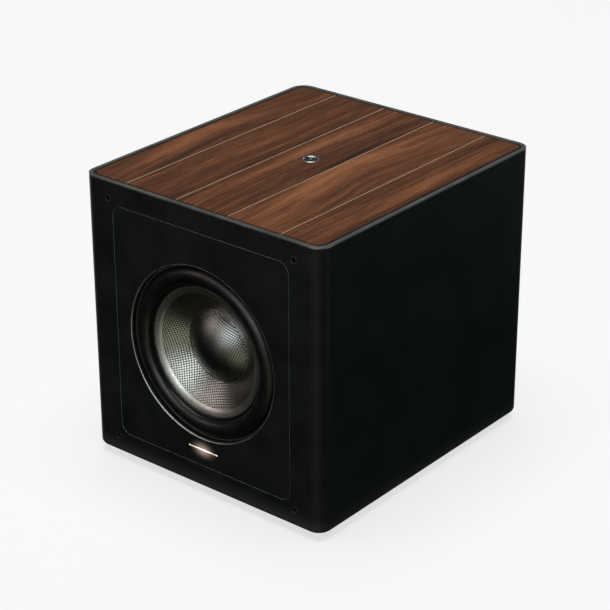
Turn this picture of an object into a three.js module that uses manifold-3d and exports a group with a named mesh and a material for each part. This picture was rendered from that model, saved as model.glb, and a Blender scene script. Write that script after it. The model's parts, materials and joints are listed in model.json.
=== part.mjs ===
// A small powered subwoofer: a leather-wrapped cabinet with a planked walnut top in a metal
// frame, a front-firing woven-cone driver, and an amplifier plate set into the rear.
// Millimetres, +Z up, front towards -Y, origin on the floor under the middle of the cabinet.
import * as THREE from 'three';
import { mergeVertices } from 'three/addons/utils/BufferGeometryUtils.js';
import Module from 'manifold-3d';

const wasm = await Module();
wasm.setup();

// ---- Driving dimensions ------------------------------------------------------------------

const GAP = 0.3; // clearance kept between pieces that touch

// Cabinet
const WIDTH = 330;
const DEPTH = 370;
const BODY_HEIGHT = 330; // without the feet
const FOOT_HEIGHT = 8;
const CORNER_RADIUS = 17;
const LOWER_EDGE_RADIUS = 6;
const WALL = 18;
const BASE = FOOT_HEIGHT; // underside of the cabinet
const TOP = FOOT_HEIGHT + BODY_HEIGHT;
const FRONT = -DEPTH / 2;
const REAR = DEPTH / 2;

// Top: metal frame, planks and inlay
const TRIM_WIDTH = 7;
const TRIM_THICKNESS = 1.4;
const TRIM_BEVEL = 0.5;
const PLANK_THICKNESS = 6;
const PLANK_CLEARANCE = 1; // dark line between the frame and the wood
const INLAY_SPACING = 71.4;
const INLAY_WIDTH = 1.2;
const BADGE_RADIUS = 10;
const BADGE_RIM = 2.4;

// Front panel let into the front wall
const PANEL_WIDTH = 245;
const PANEL_HEIGHT = 276.6;
const PANEL_RADIUS = 13.5;
const PANEL_MIDDLE = BASE + 165.7;
const PANEL_THICKNESS = 7;
const PANEL_SEAM = 0.6;
const BAFFLE_THICKNESS = 18;
const SOCKET_X = 128.4;
const SOCKET_INSET = 20.5; // from the top and bottom of the body to the grille sockets
const SOCKET_RADIUS = 4.6;
const SOCKET_HOLE = 3.2;
const LIGHT_BAR_LENGTH = 41;
const LIGHT_BAR_HEIGHT = 1.3;
const LIGHT_BAR_Z = BASE + 47.5;

// Driver, with depths counted back from the front face
const DRIVER_Z = BASE + 162.5;
const OPENING_RADIUS = 100.6;
const FLANGE_RADIUS = 112;
const FLANGE_DEPTH = PANEL_THICKNESS + 2.6;
const FLANGE_THICKNESS = 3;
const BASKET_HOLE = 95;
const ROLL_MIDDLE = 87.5;
const ROLL_HALF_WIDTH = 10;
const ROLL_HEIGHT = 7.6;
const ROLL_FOOT_DEPTH = 9.3;
const RUBBER = 1.2;
const CONE_LIP_RADIUS = 74.5;
const CONE_SEAM_RADIUS = 66;
const CAP_RADIUS = 41.4;
const CAP_DEPTH = 28.6;
const CAP_HEIGHT = 15;
const COIL_RADIUS = 19.4;
const SPIDER_DEPTH = 55;
const SPIDER_RADIUS = 56.5;
const MAGNET_RADIUS = 57;

// Amplifier plate, set into the rear wall
const AMP_WIDTH = 196;
const AMP_HEIGHT = 246;
const AMP_RADIUS = 8;
const AMP_Z = BASE + 165;
const AMP_FRAME_THICKNESS = 12;
const AMP_FACE = REAR - 13.5; // outer face of the plate
const AMP_PLATE = 3;
const AMP_WINDOW_WIDTH = 180;
const AMP_WINDOW_HEIGHT = 230;
const KNOB_REACH = REAR - 1; // how far the controls stand out
const KNOB_RADIUS = 9;
const SHAFT_RADIUS = 3;
const VOLUME_AT = [58, 170];
const CROSSOVER_AT = [10, 170];
const PHASE_AT = [-40, 170];
const JACKS_AT = [[66, 122], [42, 122]];
const ROCKER_AT = [10, 78];
const INLET_AT = [-45, 78];
const INLET_Z = 86; // middle of the inlet's flange, with the fuse drawer above the socket
const FUSE_AT = [-45, 100];
const SLIDER_TRAVEL = 4;
const ROCKER_TILT = THREE.MathUtils.degToRad(8);

// ---- Materials ---------------------------------------------------------------------------

const finish = (color, roughness, metalness = 0) =>
  new THREE.MeshStandardMaterial({ color, roughness, metalness });
const LEATHER = finish(0x15191a, 0.55);
const BLACK_PLASTIC = finish(0x0d0f10, 0.5);
const RUBBER_BLACK = finish(0x0a0b0c, 0.45);
const BOARD = finish(0x8a6a48, 0.9);
const WALNUT = finish(0x6e4228, 0.4);
const INLAY = finish(0xc9a27e, 0.5);
const TRIM_METAL = finish(0x4c4e4b, 0.4, 0.8);
const CHROME = finish(0xd0d0d0, 0.12, 1);
const WEAVE = finish(0x77766c, 0.4, 0.2);
const SATIN_RING = finish(0xa8a89c, 0.35, 0.2);
const BLACK_METAL = finish(0x1a1b1c, 0.5, 0.7);
const STEEL = finish(0x8c8f90, 0.35, 0.9);
const FERRITE = finish(0x26262a, 0.7, 0.2);
const COPPER = finish(0xa5582c, 0.35, 0.9);
const FOAM = finish(0x33353a, 1);
const ALUMINIUM = finish(0x2a2c2e, 0.45, 0.8);
const CIRCUIT = finish(0x1d5a34, 0.6);
const SPIDER_CLOTH = finish(0xb58a3c, 0.9);
const LAMP = finish(0xfff0dc, 0.3);

// ---- Geometry helpers --------------------------------------------------------------------

/** A closed geometry as a solid that can be cut and joined. */
function solid(geometry) {
  const bare = geometry.clone();
  bare.deleteAttribute('normal');
  bare.deleteAttribute('uv');
  const merged = mergeVertices(bare);
  const index = merged.index.array;
  const triangles = [];
  for (let i = 0; i < index.length; i += 3) {
    const [a, b, c] = [index[i], index[i + 1], index[i + 2]];
    if (a !== b && b !== c && c !== a) triangles.push(a, b, c);
  }
  return new wasm.Manifold(new wasm.Mesh({
    numProp: 3,
    vertProperties: new Float32Array(merged.attributes.position.array),
    triVerts: new Uint32Array(triangles),
  }));
}

/** The geometry of a solid. */
function geometryOf(shape) {
  const mesh = shape.getMesh();
  const geometry = new THREE.BufferGeometry();
  geometry.setAttribute('position', new THREE.BufferAttribute(mesh.vertProperties, 3));
  geometry.setIndex(new THREE.BufferAttribute(mesh.triVerts, 1));
  geometry.computeVertexNormals();
  return geometry;
}

const join = (first, ...rest) => rest.reduce((sum, piece) => sum.add(solid(piece)), solid(first));
const cut = (shape, ...tools) => tools.reduce((left, tool) => left.subtract(solid(tool)), shape);

/** A rectangle with round corners, centred on (x, y). */
function roundedRectangle(width, height, radius, x = 0, y = 0) {
  const shape = new THREE.Shape();
  const right = x + width / 2 - radius;
  const left = x - width / 2 + radius;
  const top = y + height / 2 - radius;
  const bottom = y - height / 2 + radius;
  const quarter = Math.PI / 2;
  shape.absarc(right, top, radius, 0, quarter);
  shape.absarc(left, top, radius, quarter, 2 * quarter);
  shape.absarc(left, bottom, radius, 2 * quarter, 3 * quarter);
  shape.absarc(right, bottom, radius, 3 * quarter, 4 * quarter);
  return shape;
}

/** An outline drawn in X and Y, standing from z = low to z = high. */
function upright(shape, low, high, curveSegments = 3) {
  const options = { depth: high - low, bevelEnabled: false, curveSegments };
  return new THREE.ExtrudeGeometry(shape, options).translate(0, 0, low);
}

/** An outline drawn in X and Z, running from y = near to y = far. */
function fromFront(shape, near, far, curveSegments = 3) {
  const options = { depth: far - near, bevelEnabled: false, curveSegments };
  return new THREE.ExtrudeGeometry(shape, options).rotateX(Math.PI / 2).translate(0, far, 0);
}

/** A box between two corners. */
function block([x0, y0, z0], [x1, y1, z1]) {
  const size = new THREE.BoxGeometry(x1 - x0, y1 - y0, z1 - z0);
  return size.translate((x0 + x1) / 2, (y0 + y1) / 2, (z0 + z1) / 2);
}

/** A profile of [radius, position] points turned about the Y axis, always facing outwards. */
function turned(profile, segments) {
  const points = profile.map(([r, y]) => new THREE.Vector2(r, y));
  const closed = profile[0][0] > 0;
  if (closed) points.push(points[0].clone());
  if (THREE.ShapeUtils.area(points) < 0) points.reverse();
  return new THREE.LatheGeometry(points, segments);
}

/** A turned piece of the driver: radius, and depth behind the front face. */
function driverTurned(profile, segments = 36) {
  return turned(profile, segments).translate(0, FRONT, DRIVER_Z);
}

/** A turned piece on the amplifier plate: radius, and y position. */
function ampTurned(profile, [x, z], segments = 20) {
  return turned(profile, segments).translate(x, 0, z);
}

/** A plain ring profile for turning. */
const ring = (inner, outer, near, far) => [
  [inner, near], [outer, near], [outer, far], [inner, far],
];

const assembly = new THREE.Group();

/** Adds a named piece to the assembly. */
function add(name, shape, material) {
  const geometry = shape.isBufferGeometry ? shape : geometryOf(shape);
  const mesh = new THREE.Mesh(geometry, material);
  mesh.name = name;
  assembly.add(mesh);
  return mesh;
}

// ---- Cabinet -----------------------------------------------------------------------------

/** The outside of the cabinet, with its lower edge rounded. */
function wrapBody(high) {
  const inset = LOWER_EDGE_RADIUS;
  const shrunk = roundedRectangle(WIDTH - 2 * inset, DEPTH - 2 * inset, CORNER_RADIUS - inset);
  const edge = new THREE.ExtrudeGeometry(shrunk, {
    depth: 10, bevelThickness: inset, bevelSize: inset, bevelSegments: 3, curveSegments: 3,
  }).translate(0, 0, BASE + inset);
  const walls = upright(roundedRectangle(WIDTH, DEPTH, CORNER_RADIUS), BASE + inset + 1, high);
  return join(edge, walls);
}

/** The four walls in one wrap, rebated for the top, with the front and rear cut out and the
 * sockets drilled. */
function cabinetShell() {
  const inside = roundedRectangle(WIDTH - 2 * WALL, DEPTH - 2 * WALL, 4);
  const rebate = roundedRectangle(WIDTH - 2 * TRIM_WIDTH, DEPTH - 2 * TRIM_WIDTH,
    CORNER_RADIUS - TRIM_WIDTH);
  const tube = cut(wrapBody(TOP - TRIM_THICKNESS - GAP), upright(inside, BASE - 1, TOP + 1),
    upright(rebate, TOP - PLANK_THICKNESS - GAP, TOP + 1));
  const panel = roundedRectangle(PANEL_WIDTH, PANEL_HEIGHT, PANEL_RADIUS, 0, PANEL_MIDDLE);
  const amp = roundedRectangle(AMP_WIDTH, AMP_HEIGHT, AMP_RADIUS, 0, AMP_Z);
  const holes = socketPlaces().map(([x, z]) =>
    turned([[0, FRONT - 1], [SOCKET_RADIUS + GAP, FRONT - 1],
      [SOCKET_RADIUS + GAP, FRONT + 12.5], [0, FRONT + 12.5]], 12).translate(x, 0, z));
  return cut(tube, fromFront(panel, FRONT - 1, FRONT + WALL + 1),
    fromFront(amp, REAR - WALL - 1, REAR + 1), ...holes);
}

/** Where the four grille sockets sit, as [x, z]. */
function socketPlaces() {
  const low = BASE + SOCKET_INSET;
  const high = TOP - SOCKET_INSET;
  return [[-SOCKET_X, low], [SOCKET_X, low], [-SOCKET_X, high], [SOCKET_X, high]];
}

/** A socket cup for a grille peg: a flanged sleeve with a blind hole. */
function grilleSocket([x, z]) {
  const face = FRONT + 0.2;
  const profile = [
    [0, face + 12], [SOCKET_RADIUS, face + 12], [SOCKET_RADIUS, face + 0.6],
    [SOCKET_RADIUS - 0.6, face], [SOCKET_HOLE, face], [SOCKET_HOLE, face + 10], [0, face + 10],
  ];
  return turned(profile, 16).translate(x, 0, z);
}

/** A horizontal board that fits between the walls. */
function innerBoard(low, high) {
  const clear = 2 * (WALL + GAP);
  return upright(roundedRectangle(WIDTH - clear, DEPTH - clear, 4), low, high);
}

/** The structural board behind the front panel, rebated for the driver flange. */
function innerBaffle() {
  const near = FRONT + PANEL_THICKNESS + GAP;
  const shape = roundedRectangle(PANEL_WIDTH - 2 * GAP, PANEL_HEIGHT - 2 * GAP,
    PANEL_RADIUS - GAP, 0, PANEL_MIDDLE);
  const board = solid(fromFront(shape, near, near + BAFFLE_THICKNESS));
  const rebate = FLANGE_DEPTH + FLANGE_THICKNESS + GAP;
  const bore = driverTurned([
    [0, 0], [FLANGE_RADIUS + 0.6, 0], [FLANGE_RADIUS + 0.6, rebate],
    [BASKET_HOLE, rebate], [BASKET_HOLE, 40], [0, 40],
  ]);
  const lampPocket = block([-24, near - 1, LIGHT_BAR_Z - 9], [24, near + 6, LIGHT_BAR_Z + 3]);
  return cut(board, bore, lampPocket);
}

/** The leather-covered panel around the driver, with the slot for the light bar. */
function frontPanel() {
  const shape = roundedRectangle(PANEL_WIDTH - 2 * PANEL_SEAM, PANEL_HEIGHT - 2 * PANEL_SEAM,
    PANEL_RADIUS - PANEL_SEAM, 0, PANEL_MIDDLE);
  const panel = solid(fromFront(shape, FRONT, FRONT + PANEL_THICKNESS));
  const lip = 1.2; // width of the bevel round the opening
  const opening = driverTurned([
    [0, -1], [OPENING_RADIUS + lip + 1, -1], [OPENING_RADIUS, lip],
    [OPENING_RADIUS, PANEL_THICKNESS + 1], [0, PANEL_THICKNESS + 1],
  ], 48);
  const half = LIGHT_BAR_LENGTH / 2 + GAP;
  const reach = LIGHT_BAR_HEIGHT / 2 + GAP;
  const slot = block([-half, FRONT - 1, LIGHT_BAR_Z - reach],
    [half, FRONT + PANEL_THICKNESS + 1, LIGHT_BAR_Z + reach]);
  return cut(panel, opening, slot);
}

/** A frame of board across the middle of the cabinet, which stiffens the walls. */
function windowBrace() {
  const low = BASE + WALL + GAP;
  const high = TOP - PLANK_THICKNESS - 2 * GAP - WALL - GAP;
  const middle = (low + high) / 2;
  const shape = roundedRectangle(WIDTH - 2 * (WALL + GAP), high - low, 1, 0, middle);
  shape.holes.push(roundedRectangle(206, 190, 40, 0, middle));
  return fromFront(shape, -10, 8);
}

/** The thin metal frame that caps the walls round the top, bevelled on its outer edges. */
function topTrimFrame() {
  const low = TOP - TRIM_THICKNESS;
  const inner = roundedRectangle(WIDTH - 2 * TRIM_WIDTH, DEPTH - 2 * TRIM_WIDTH,
    CORNER_RADIUS - TRIM_WIDTH);
  const shrunk = roundedRectangle(WIDTH - 2 * TRIM_BEVEL, DEPTH - 2 * TRIM_BEVEL,
    CORNER_RADIUS - TRIM_BEVEL);
  const plate = new THREE.ExtrudeGeometry(shrunk, {
    depth: TRIM_THICKNESS - 2 * TRIM_BEVEL, bevelThickness: TRIM_BEVEL, bevelSize: TRIM_BEVEL,
    bevelSegments: 1, curveSegments: 4,
  }).translate(0, 0, low + TRIM_BEVEL);
  return cut(solid(plate), upright(inner, low - 1, TOP + 1, 4));
}

/** Five planks with four inlay strips between them, inside the metal frame. */
function plankedTop() {
  const inset = TRIM_WIDTH + PLANK_CLEARANCE;
  const low = TOP - PLANK_THICKNESS;
  const sheet = roundedRectangle(WIDTH - 2 * inset, DEPTH - 2 * inset, CORNER_RADIUS - inset);
  const whole = solid(upright(sheet, low, TOP));
  const badge = new THREE.CylinderGeometry(BADGE_RADIUS + GAP, BADGE_RADIUS + GAP, 40, 24)
    .rotateX(Math.PI / 2).translate(0, 0, TOP);
  const half = DEPTH / 2;
  const strip = (left, right) => block([left, -half, low - 1], [right, half, TOP + 1]);
  const seams = [-1.5, -0.5, 0.5, 1.5].map((step) => step * INLAY_SPACING);
  const edge = INLAY_WIDTH / 2 + GAP;
  const lefts = [-WIDTH / 2, ...seams.map((x) => x + edge)];
  const rights = [...seams.map((x) => x - edge), WIDTH / 2];
  lefts.forEach((left, i) => {
    const plank = whole.intersect(solid(strip(left, rights[i])));
    add(`top_plank_${i + 1}`, cut(plank, badge), WALNUT);
  });
  seams.forEach((x, i) => {
    const reach = DEPTH / 2 - inset;
    add(`inlay_strip_${i + 1}`,
      block([x - INLAY_WIDTH / 2, -reach, low], [x + INLAY_WIDTH / 2, reach, TOP]), INLAY);
  });
}

/** A plain ring with a dark disc inside it, set flush into the middle plank. */
function badge() {
  const low = TOP - PLANK_THICKNESS;
  const flat = (profile) => turned(profile, 24).rotateX(Math.PI / 2);
  const inside = BADGE_RADIUS - BADGE_RIM;
  add('badge_ring', flat([
    [inside, low], [BADGE_RADIUS, low], [BADGE_RADIUS, TOP - 0.5],
    [BADGE_RADIUS - 0.5, TOP], [inside + 0.5, TOP], [inside, TOP - 0.5],
  ]), CHROME);
  add('badge_disc', flat([
    [0, low], [inside - GAP, low], [inside - GAP, TOP - 0.8], [0, TOP - 0.8],
  ]), BLACK_PLASTIC);
}

/** A rubber foot with a recess for its screw. */
function foot(x, y) {
  const high = FOOT_HEIGHT - GAP;
  return turned([
    [3.5, 4], [8, 4], [8, 0], [15, 0], [17, 2], [18, high], [3.5, high],
  ], 16).rotateX(Math.PI / 2).translate(x, y, 0);
}

function cabinet() {
  add('cabinet_shell', cabinetShell(), LEATHER);
  add('bottom_panel', innerBoard(BASE, BASE + WALL), BOARD);
  const boardTop = TOP - PLANK_THICKNESS - GAP;
  add('top_board', innerBoard(boardTop - WALL, boardTop), BOARD);
  add('inner_baffle', innerBaffle(), BOARD);
  add('front_panel', frontPanel(), LEATHER);
  add('window_brace', windowBrace(), BOARD);
  add('top_trim_frame', topTrimFrame(), TRIM_METAL);
  plankedTop();
  badge();
  socketPlaces().forEach((place, i) => {
    add(`grille_socket_${i + 1}`, grilleSocket(place), BLACK_PLASTIC);
  });
  [[-1, -1], [1, -1], [-1, 1], [1, 1]].forEach(([side, end], i) => {
    add(`foot_${i + 1}`, foot(side * 122, end * 142), RUBBER_BLACK);
  });
}

/** Foam on the side walls behind the brace. */
function dampingPads() {
  const wall = WIDTH / 2 - WALL - GAP;
  const pad = (x0, x1) => block([x0, 12, 44], [x1, 150, 296]);
  add('damping_pad_left', pad(-wall, -wall + 14), FOAM);
  add('damping_pad_right', pad(wall - 14, wall), FOAM);
}

/** The light bar in the front panel, and the board of lamps behind it. */
function lightBar() {
  const half = LIGHT_BAR_LENGTH / 2;
  const reach = LIGHT_BAR_HEIGHT / 2;
  const back = FRONT + PANEL_THICKNESS + 2;
  add('light_bar_lens', block([-half, FRONT + 0.2, LIGHT_BAR_Z - reach],
    [half, back, LIGHT_BAR_Z + reach]), LAMP);
  add('light_bar_board', block([-23, back + GAP, LIGHT_BAR_Z - 8.5],
    [23, back + GAP + 1.6, LIGHT_BAR_Z + 2]), CIRCUIT);
}

// ---- Driver ------------------------------------------------------------------------------

/** Flange, rim, six spokes, the hub that holds the spider and magnet, and a terminal tab. */
function basket() {
  const back = FLANGE_DEPTH + FLANGE_THICKNESS;
  const flange = driverTurned([
    [89.5, FLANGE_DEPTH], [FLANGE_RADIUS, FLANGE_DEPTH], [FLANGE_RADIUS, back], [94, back],
    [94, 18], [89.5, 18],
  ]);
  const hub = driverTurned([[44, 62], [52, 57.6], [61, 57.6], [61, 64], [56, 67.7], [44, 67.7]]);
  const spoke = new THREE.Shape([[89.6, 12], [94, 12], [94, 15], [60.8, 63.5], [56, 59]]
    .map(([r, d]) => new THREE.Vector2(r, d)));
  const width = 13;
  const spokes = [0, 1, 2, 3, 4, 5].map((i) =>
    new THREE.ExtrudeGeometry(spoke, { depth: width, bevelEnabled: false })
      .translate(0, 0, -width / 2).rotateY(i * Math.PI / 3 + Math.PI / 6)
      .translate(0, FRONT, DRIVER_Z));
  const bracket = block([50, FRONT + 60, DRIVER_Z - 8], [65.7, FRONT + 63, DRIVER_Z + 8]);
  return join(flange, hub, bracket, ...spokes);
}

/** A half-roll of rubber between two flat feet. */
function surround() {
  const steps = 6;
  const arc = (offset) => {
    const points = [];
    for (let i = 0; i <= steps; i += 1) {
      const angle = Math.PI * i / steps;
      points.push([ROLL_MIDDLE + (ROLL_HALF_WIDTH - offset) * Math.cos(angle),
        ROLL_FOOT_DEPTH - offset - (ROLL_HEIGHT - offset) * Math.sin(angle)]);
    }
    return points;
  };
  const outer = 99.9;
  const inner = CONE_LIP_RADIUS + GAP;
  return driverTurned([
    [outer, ROLL_FOOT_DEPTH - RUBBER], ...arc(0).map(([r, d]) => [r, d - RUBBER]),
    [inner, ROLL_FOOT_DEPTH - RUBBER], [inner, ROLL_FOOT_DEPTH],
    ...arc(RUBBER).reverse().map(([r, d]) => [r, d + RUBBER]), [outer, ROLL_FOOT_DEPTH],
  ]);
}

/** Points along the curved front of the cone, from the lip to the neck. */
const CONE_LINE = [
  [CONE_LIP_RADIUS, 8.2], [70, 9.7], [CONE_SEAM_RADIUS, 11.8], [58, 16.4], [50, 22],
  [CAP_RADIUS, 28.8], [31, 38.6], [COIL_RADIUS + 0.6, 50.5],
];
const CONE_WALL = 1.1;

/** The woven cone, a thin flared wall from the seam to the voice coil. */
function cone() {
  const front = CONE_LINE.slice(2).map(([r, d], i) => (i ? [r, d] : [r - GAP, d]));
  const back = front.map(([r, d], i) => [r + (i ? 0.5 * CONE_WALL : 0), d + CONE_WALL]);
  return driverTurned([...front, ...back.reverse()]);
}

/** The smooth ring that joins the cone to the surround. */
function coneEdgeRing() {
  const front = CONE_LINE.slice(0, 3);
  const back = [[CONE_SEAM_RADIUS, 13.1], [70, 11], [CONE_LIP_RADIUS, 9.5]];
  return driverTurned([...front, ...back]);
}

/** The dome over the middle of the cone, on a narrow flange. */
function dustCap() {
  const steps = 4;
  const rim = CAP_RADIUS - 2.2;
  const radius = (rim * rim + CAP_HEIGHT * CAP_HEIGHT) / (2 * CAP_HEIGHT);
  const spread = Math.asin(rim / radius);
  const dome = (r, limit) => {
    const points = [];
    for (let i = 0; i <= steps; i += 1) {
      const angle = limit * i / steps;
      points.push([r * Math.sin(angle), CAP_DEPTH - 1 - CAP_HEIGHT + radius - r * Math.cos(angle)]);
    }
    points[0][0] = 0;
    return points;
  };
  const wall = 0.9;
  const flange = CAP_RADIUS - 0.5;
  return driverTurned([...dome(radius, spread), [flange, CAP_DEPTH - 1], [flange, CAP_DEPTH - 0.4],
    ...dome(radius - wall, spread).reverse()]);
}

/** A corrugated cloth disc that centres the voice coil. */
function spider() {
  const waves = 2;
  const steps = 8;
  const inner = COIL_RADIUS + 2;
  const outer = SPIDER_RADIUS - 6;
  const front = [];
  for (let i = 0; i <= steps; i += 1) {
    const share = i / steps;
    const wave = Math.cos(share * waves * 2 * Math.PI);
    front.push([inner + (outer - inner) * share, SPIDER_DEPTH + 1.6 * wave]);
  }
  front.push([SPIDER_RADIUS, SPIDER_DEPTH + 1.6]);
  const back = front.map(([r, d]) => [r, d + 0.7]).reverse();
  return driverTurned([...front, ...back], 24);
}

/** The steel back plate with the pole that stands inside the voice coil. */
function polePiece() {
  return driverTurned([
    [6, 68], [17.4, 68], [18.2, 69], [18.2, 96.6], [50, 96.6], [52, 98.6], [52, 104.6],
    [12, 104.6], [6, 100],
  ], 24);
}

function driver() {
  add('driver_basket', basket(), BLACK_METAL);
  add('surround', surround(), RUBBER_BLACK);
  const ringFront = ROLL_FOOT_DEPTH - RUBBER - GAP;
  add('surround_trim_ring', driverTurned([
    [98.2, ringFront], [98.2, ringFront - 1.2], [98.8, ringFront - 1.8],
    [100.2, ringFront - 1.8], [100.2, ringFront],
  ], 48), RUBBER_BLACK);
  add('cone', cone(), WEAVE);
  add('cone_edge_ring', coneEdgeRing(), SATIN_RING);
  add('dust_cap', dustCap(), WEAVE);
  add('voice_coil_former', driverTurned(ring(COIL_RADIUS - 0.5, COIL_RADIUS, 46, 86), 24), STEEL);
  add('voice_coil', driverTurned(ring(COIL_RADIUS + 0.1, COIL_RADIUS + 1.5, 64, 84), 24), COPPER);
  add('spider', spider(), SPIDER_CLOTH);
  add('top_plate', driverTurned(ring(COIL_RADIUS + 2.3, 52, 68, 76), 24), STEEL);
  add('magnet', driverTurned([
    [30, 76.3], [MAGNET_RADIUS - 1, 76.3], [MAGNET_RADIUS, 77.3], [MAGNET_RADIUS, 95.3],
    [MAGNET_RADIUS - 1, 96.3], [30, 96.3],
  ], 24), FERRITE);
  add('pole_piece', polePiece(), STEEL);
  const terminal = block([66, FRONT + 50, DRIVER_Z - 9], [70, FRONT + 66, DRIVER_Z + 9]);
  add('terminal_strip', terminal, BLACK_PLASTIC);
}

// ---- Amplifier ---------------------------------------------------------------------------

/** An upright board round the amplifier cut-out, glued behind the rear wall. */
function ampFrame() {
  const shape = roundedRectangle(AMP_WIDTH + 40, AMP_HEIGHT + 24, 6, 0, AMP_Z);
  shape.holes.push(roundedRectangle(AMP_WINDOW_WIDTH, AMP_WINDOW_HEIGHT, 6, 0, AMP_Z));
  const far = REAR - WALL - GAP;
  return fromFront(shape, far - AMP_FRAME_THICKNESS, far);
}

/** The tool for a square-cornered hole through the amplifier plate, centred on [x, z]. */
function pierced(width, height, [x, z]) {
  return block([x - width / 2, AMP_FACE - AMP_PLATE - 1, z - height / 2],
    [x + width / 2, AMP_FACE + 1, z + height / 2]);
}

/** The tool for a round hole through the amplifier plate, centred on [x, z]. */
function drilled(place, radius) {
  const near = AMP_FACE - AMP_PLATE - 1;
  const far = AMP_FACE + 1;
  return ampTurned([[0, near], [radius, near], [radius, far], [0, far]], place);
}

/** The plate that carries every control, pierced for each of them. */
function ampPlate() {
  const shape = roundedRectangle(AMP_WIDTH - 2 * GAP, AMP_HEIGHT - 2 * GAP, AMP_RADIUS - GAP,
    0, AMP_Z);
  const plate = solid(fromFront(shape, AMP_FACE - AMP_PLATE, AMP_FACE));
  const shaft = SHAFT_RADIUS + GAP;
  const jack = 4.6;
  const inletMiddle = [INLET_AT[0], INLET_Z];
  return cut(plate, drilled(VOLUME_AT, shaft), drilled(CROSSOVER_AT, shaft),
    pierced(12, 7, PHASE_AT), ...JACKS_AT.map((place) => drilled(place, jack)),
    pierced(13.8, 19.8, ROCKER_AT), pierced(29, 51, inletMiddle));
}

/** Vertical cooling fins on a flat base. */
function heatsink() {
  const fins = 15;
  const pitch = 12;
  const base = AMP_FACE + GAP;
  const left = -(fins - 1) * pitch / 2 - 1.2;
  const shape = new THREE.Shape();
  shape.moveTo(left, base);
  shape.lineTo(-left, base);
  for (let i = fins - 1; i >= 0; i -= 1) {
    const x = (i - (fins - 1) / 2) * pitch;
    shape.lineTo(x + 1.2, base + 3);
    shape.lineTo(x + 0.8, KNOB_REACH);
    shape.lineTo(x - 0.8, KNOB_REACH);
    shape.lineTo(x - 1.2, base + 3);
  }
  return upright(shape, AMP_Z + 24, AMP_Z + 112);
}

/** A control knob with its pointer and shaft. */
function knob(place) {
  const near = AMP_FACE + 0.6;
  const body = ampTurned([
    [0, near - 14], [SHAFT_RADIUS, near - 14], [SHAFT_RADIUS, near],
    [KNOB_RADIUS, near], [KNOB_RADIUS, near + 3], [KNOB_RADIUS - 1.2, near + 4],
    [KNOB_RADIUS - 2, KNOB_REACH - 1.4], [KNOB_RADIUS - 3, KNOB_REACH - 0.8],
    [0, KNOB_REACH - 0.8],
  ], place);
  const [x, z] = place;
  const pointer = block([x - 0.7, near + 4, z + 2], [x + 0.7, KNOB_REACH, z + KNOB_RADIUS - 1]);
  return join(body, pointer);
}

/** The control board with its two potentiometers, bored for the knobs' shafts. */
function controlBoard() {
  const far = AMP_FACE - AMP_PLATE - GAP;
  const places = [VOLUME_AT, CROSSOVER_AT];
  const pots = places.map(([x, z]) => block([x - 8, far - 9, z - 8], [x + 8, far, z + 8]));
  const board = block([CROSSOVER_AT[0] - 12, far - 10.4, VOLUME_AT[1] - 14],
    [VOLUME_AT[0] + 12, far - 8.8, VOLUME_AT[1] + 14]);
  const bores = places.map((place) => ampTurned([[0, far - 13], [SHAFT_RADIUS + GAP, far - 13],
    [SHAFT_RADIUS + GAP, far + 1], [0, far + 1]], place));
  return cut(join(board, ...pots), ...bores);
}

/** A slide switch's handle, shown at the left-hand end of its slot. */
function slider([x, z]) {
  const start = x - SLIDER_TRAVEL / 2;
  const near = AMP_FACE - AMP_PLATE - 2;
  const stem = block([start - 2.6, near, z - 2.8], [start + 2.6, AMP_FACE + 4, z + 2.8]);
  const grip = block([start - 0.8, AMP_FACE + 3, z - 2.8], [start + 0.8, AMP_FACE + 5.4, z + 2.8]);
  return join(stem, grip);
}

/** A phono socket: a hollow collar in front of the plate and its block behind. */
function phonoJack([x, z]) {
  const inner = AMP_FACE - AMP_PLATE - GAP;
  const body = block([x - 6, inner - 13, z - 7], [x + 6, inner, z + 7]);
  const collar = ampTurned([
    [0, inner - 1], [4.2, inner - 1], [4.2, AMP_FACE + 9.5], [2, AMP_FACE + 9.5],
    [2, AMP_FACE], [0, AMP_FACE],
  ], [x, z]);
  const nut = ampTurned([
    [3, AMP_FACE + GAP], [7, AMP_FACE + GAP], [7, AMP_FACE + 2], [3, AMP_FACE + 2],
  ], [x, z], 6);
  return join(body, collar, nut);
}

/** The frame and housing of the power rocker. */
function rockerHousing() {
  const [x, z] = ROCKER_AT;
  const flange = block([x - 7.6, AMP_FACE + GAP, z - 10.6], [x + 7.6, AMP_FACE + 2.3, z + 10.6]);
  const body = block([x - 6.5, AMP_FACE - 14, z - 9.5], [x + 6.5, AMP_FACE + 1, z + 9.5]);
  const well = block([x - 5.2, AMP_FACE - 10, z - 8.2], [x + 5.2, AMP_FACE + 3, z + 8.2]);
  return cut(join(flange, body), well);
}

/** The rocker itself, pressed in at its upper half, as it is when switched on. */
function powerRocker() {
  const [x, z] = ROCKER_AT;
  const half = 7.2;
  const shape = new THREE.Shape([[-half, -1.5], [0, -4.5], [half, -1.5], [half, 4.4],
    [0, 3.3], [-half, 4.4]].map(([u, v]) => new THREE.Vector2(v, u)));
  const width = 9.6;
  const outwards = new THREE.Vector3(0, 1, 0);
  const upwards = new THREE.Vector3(0, 0, 1);
  const across = new THREE.Vector3(1, 0, 0);
  return new THREE.ExtrudeGeometry(shape, { depth: width, bevelEnabled: false })
    .translate(0, 0, -width / 2)
    .applyMatrix4(new THREE.Matrix4().makeBasis(outwards, upwards, across))
    .rotateX(ROCKER_TILT).translate(x, AMP_FACE - 1, z);
}

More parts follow.
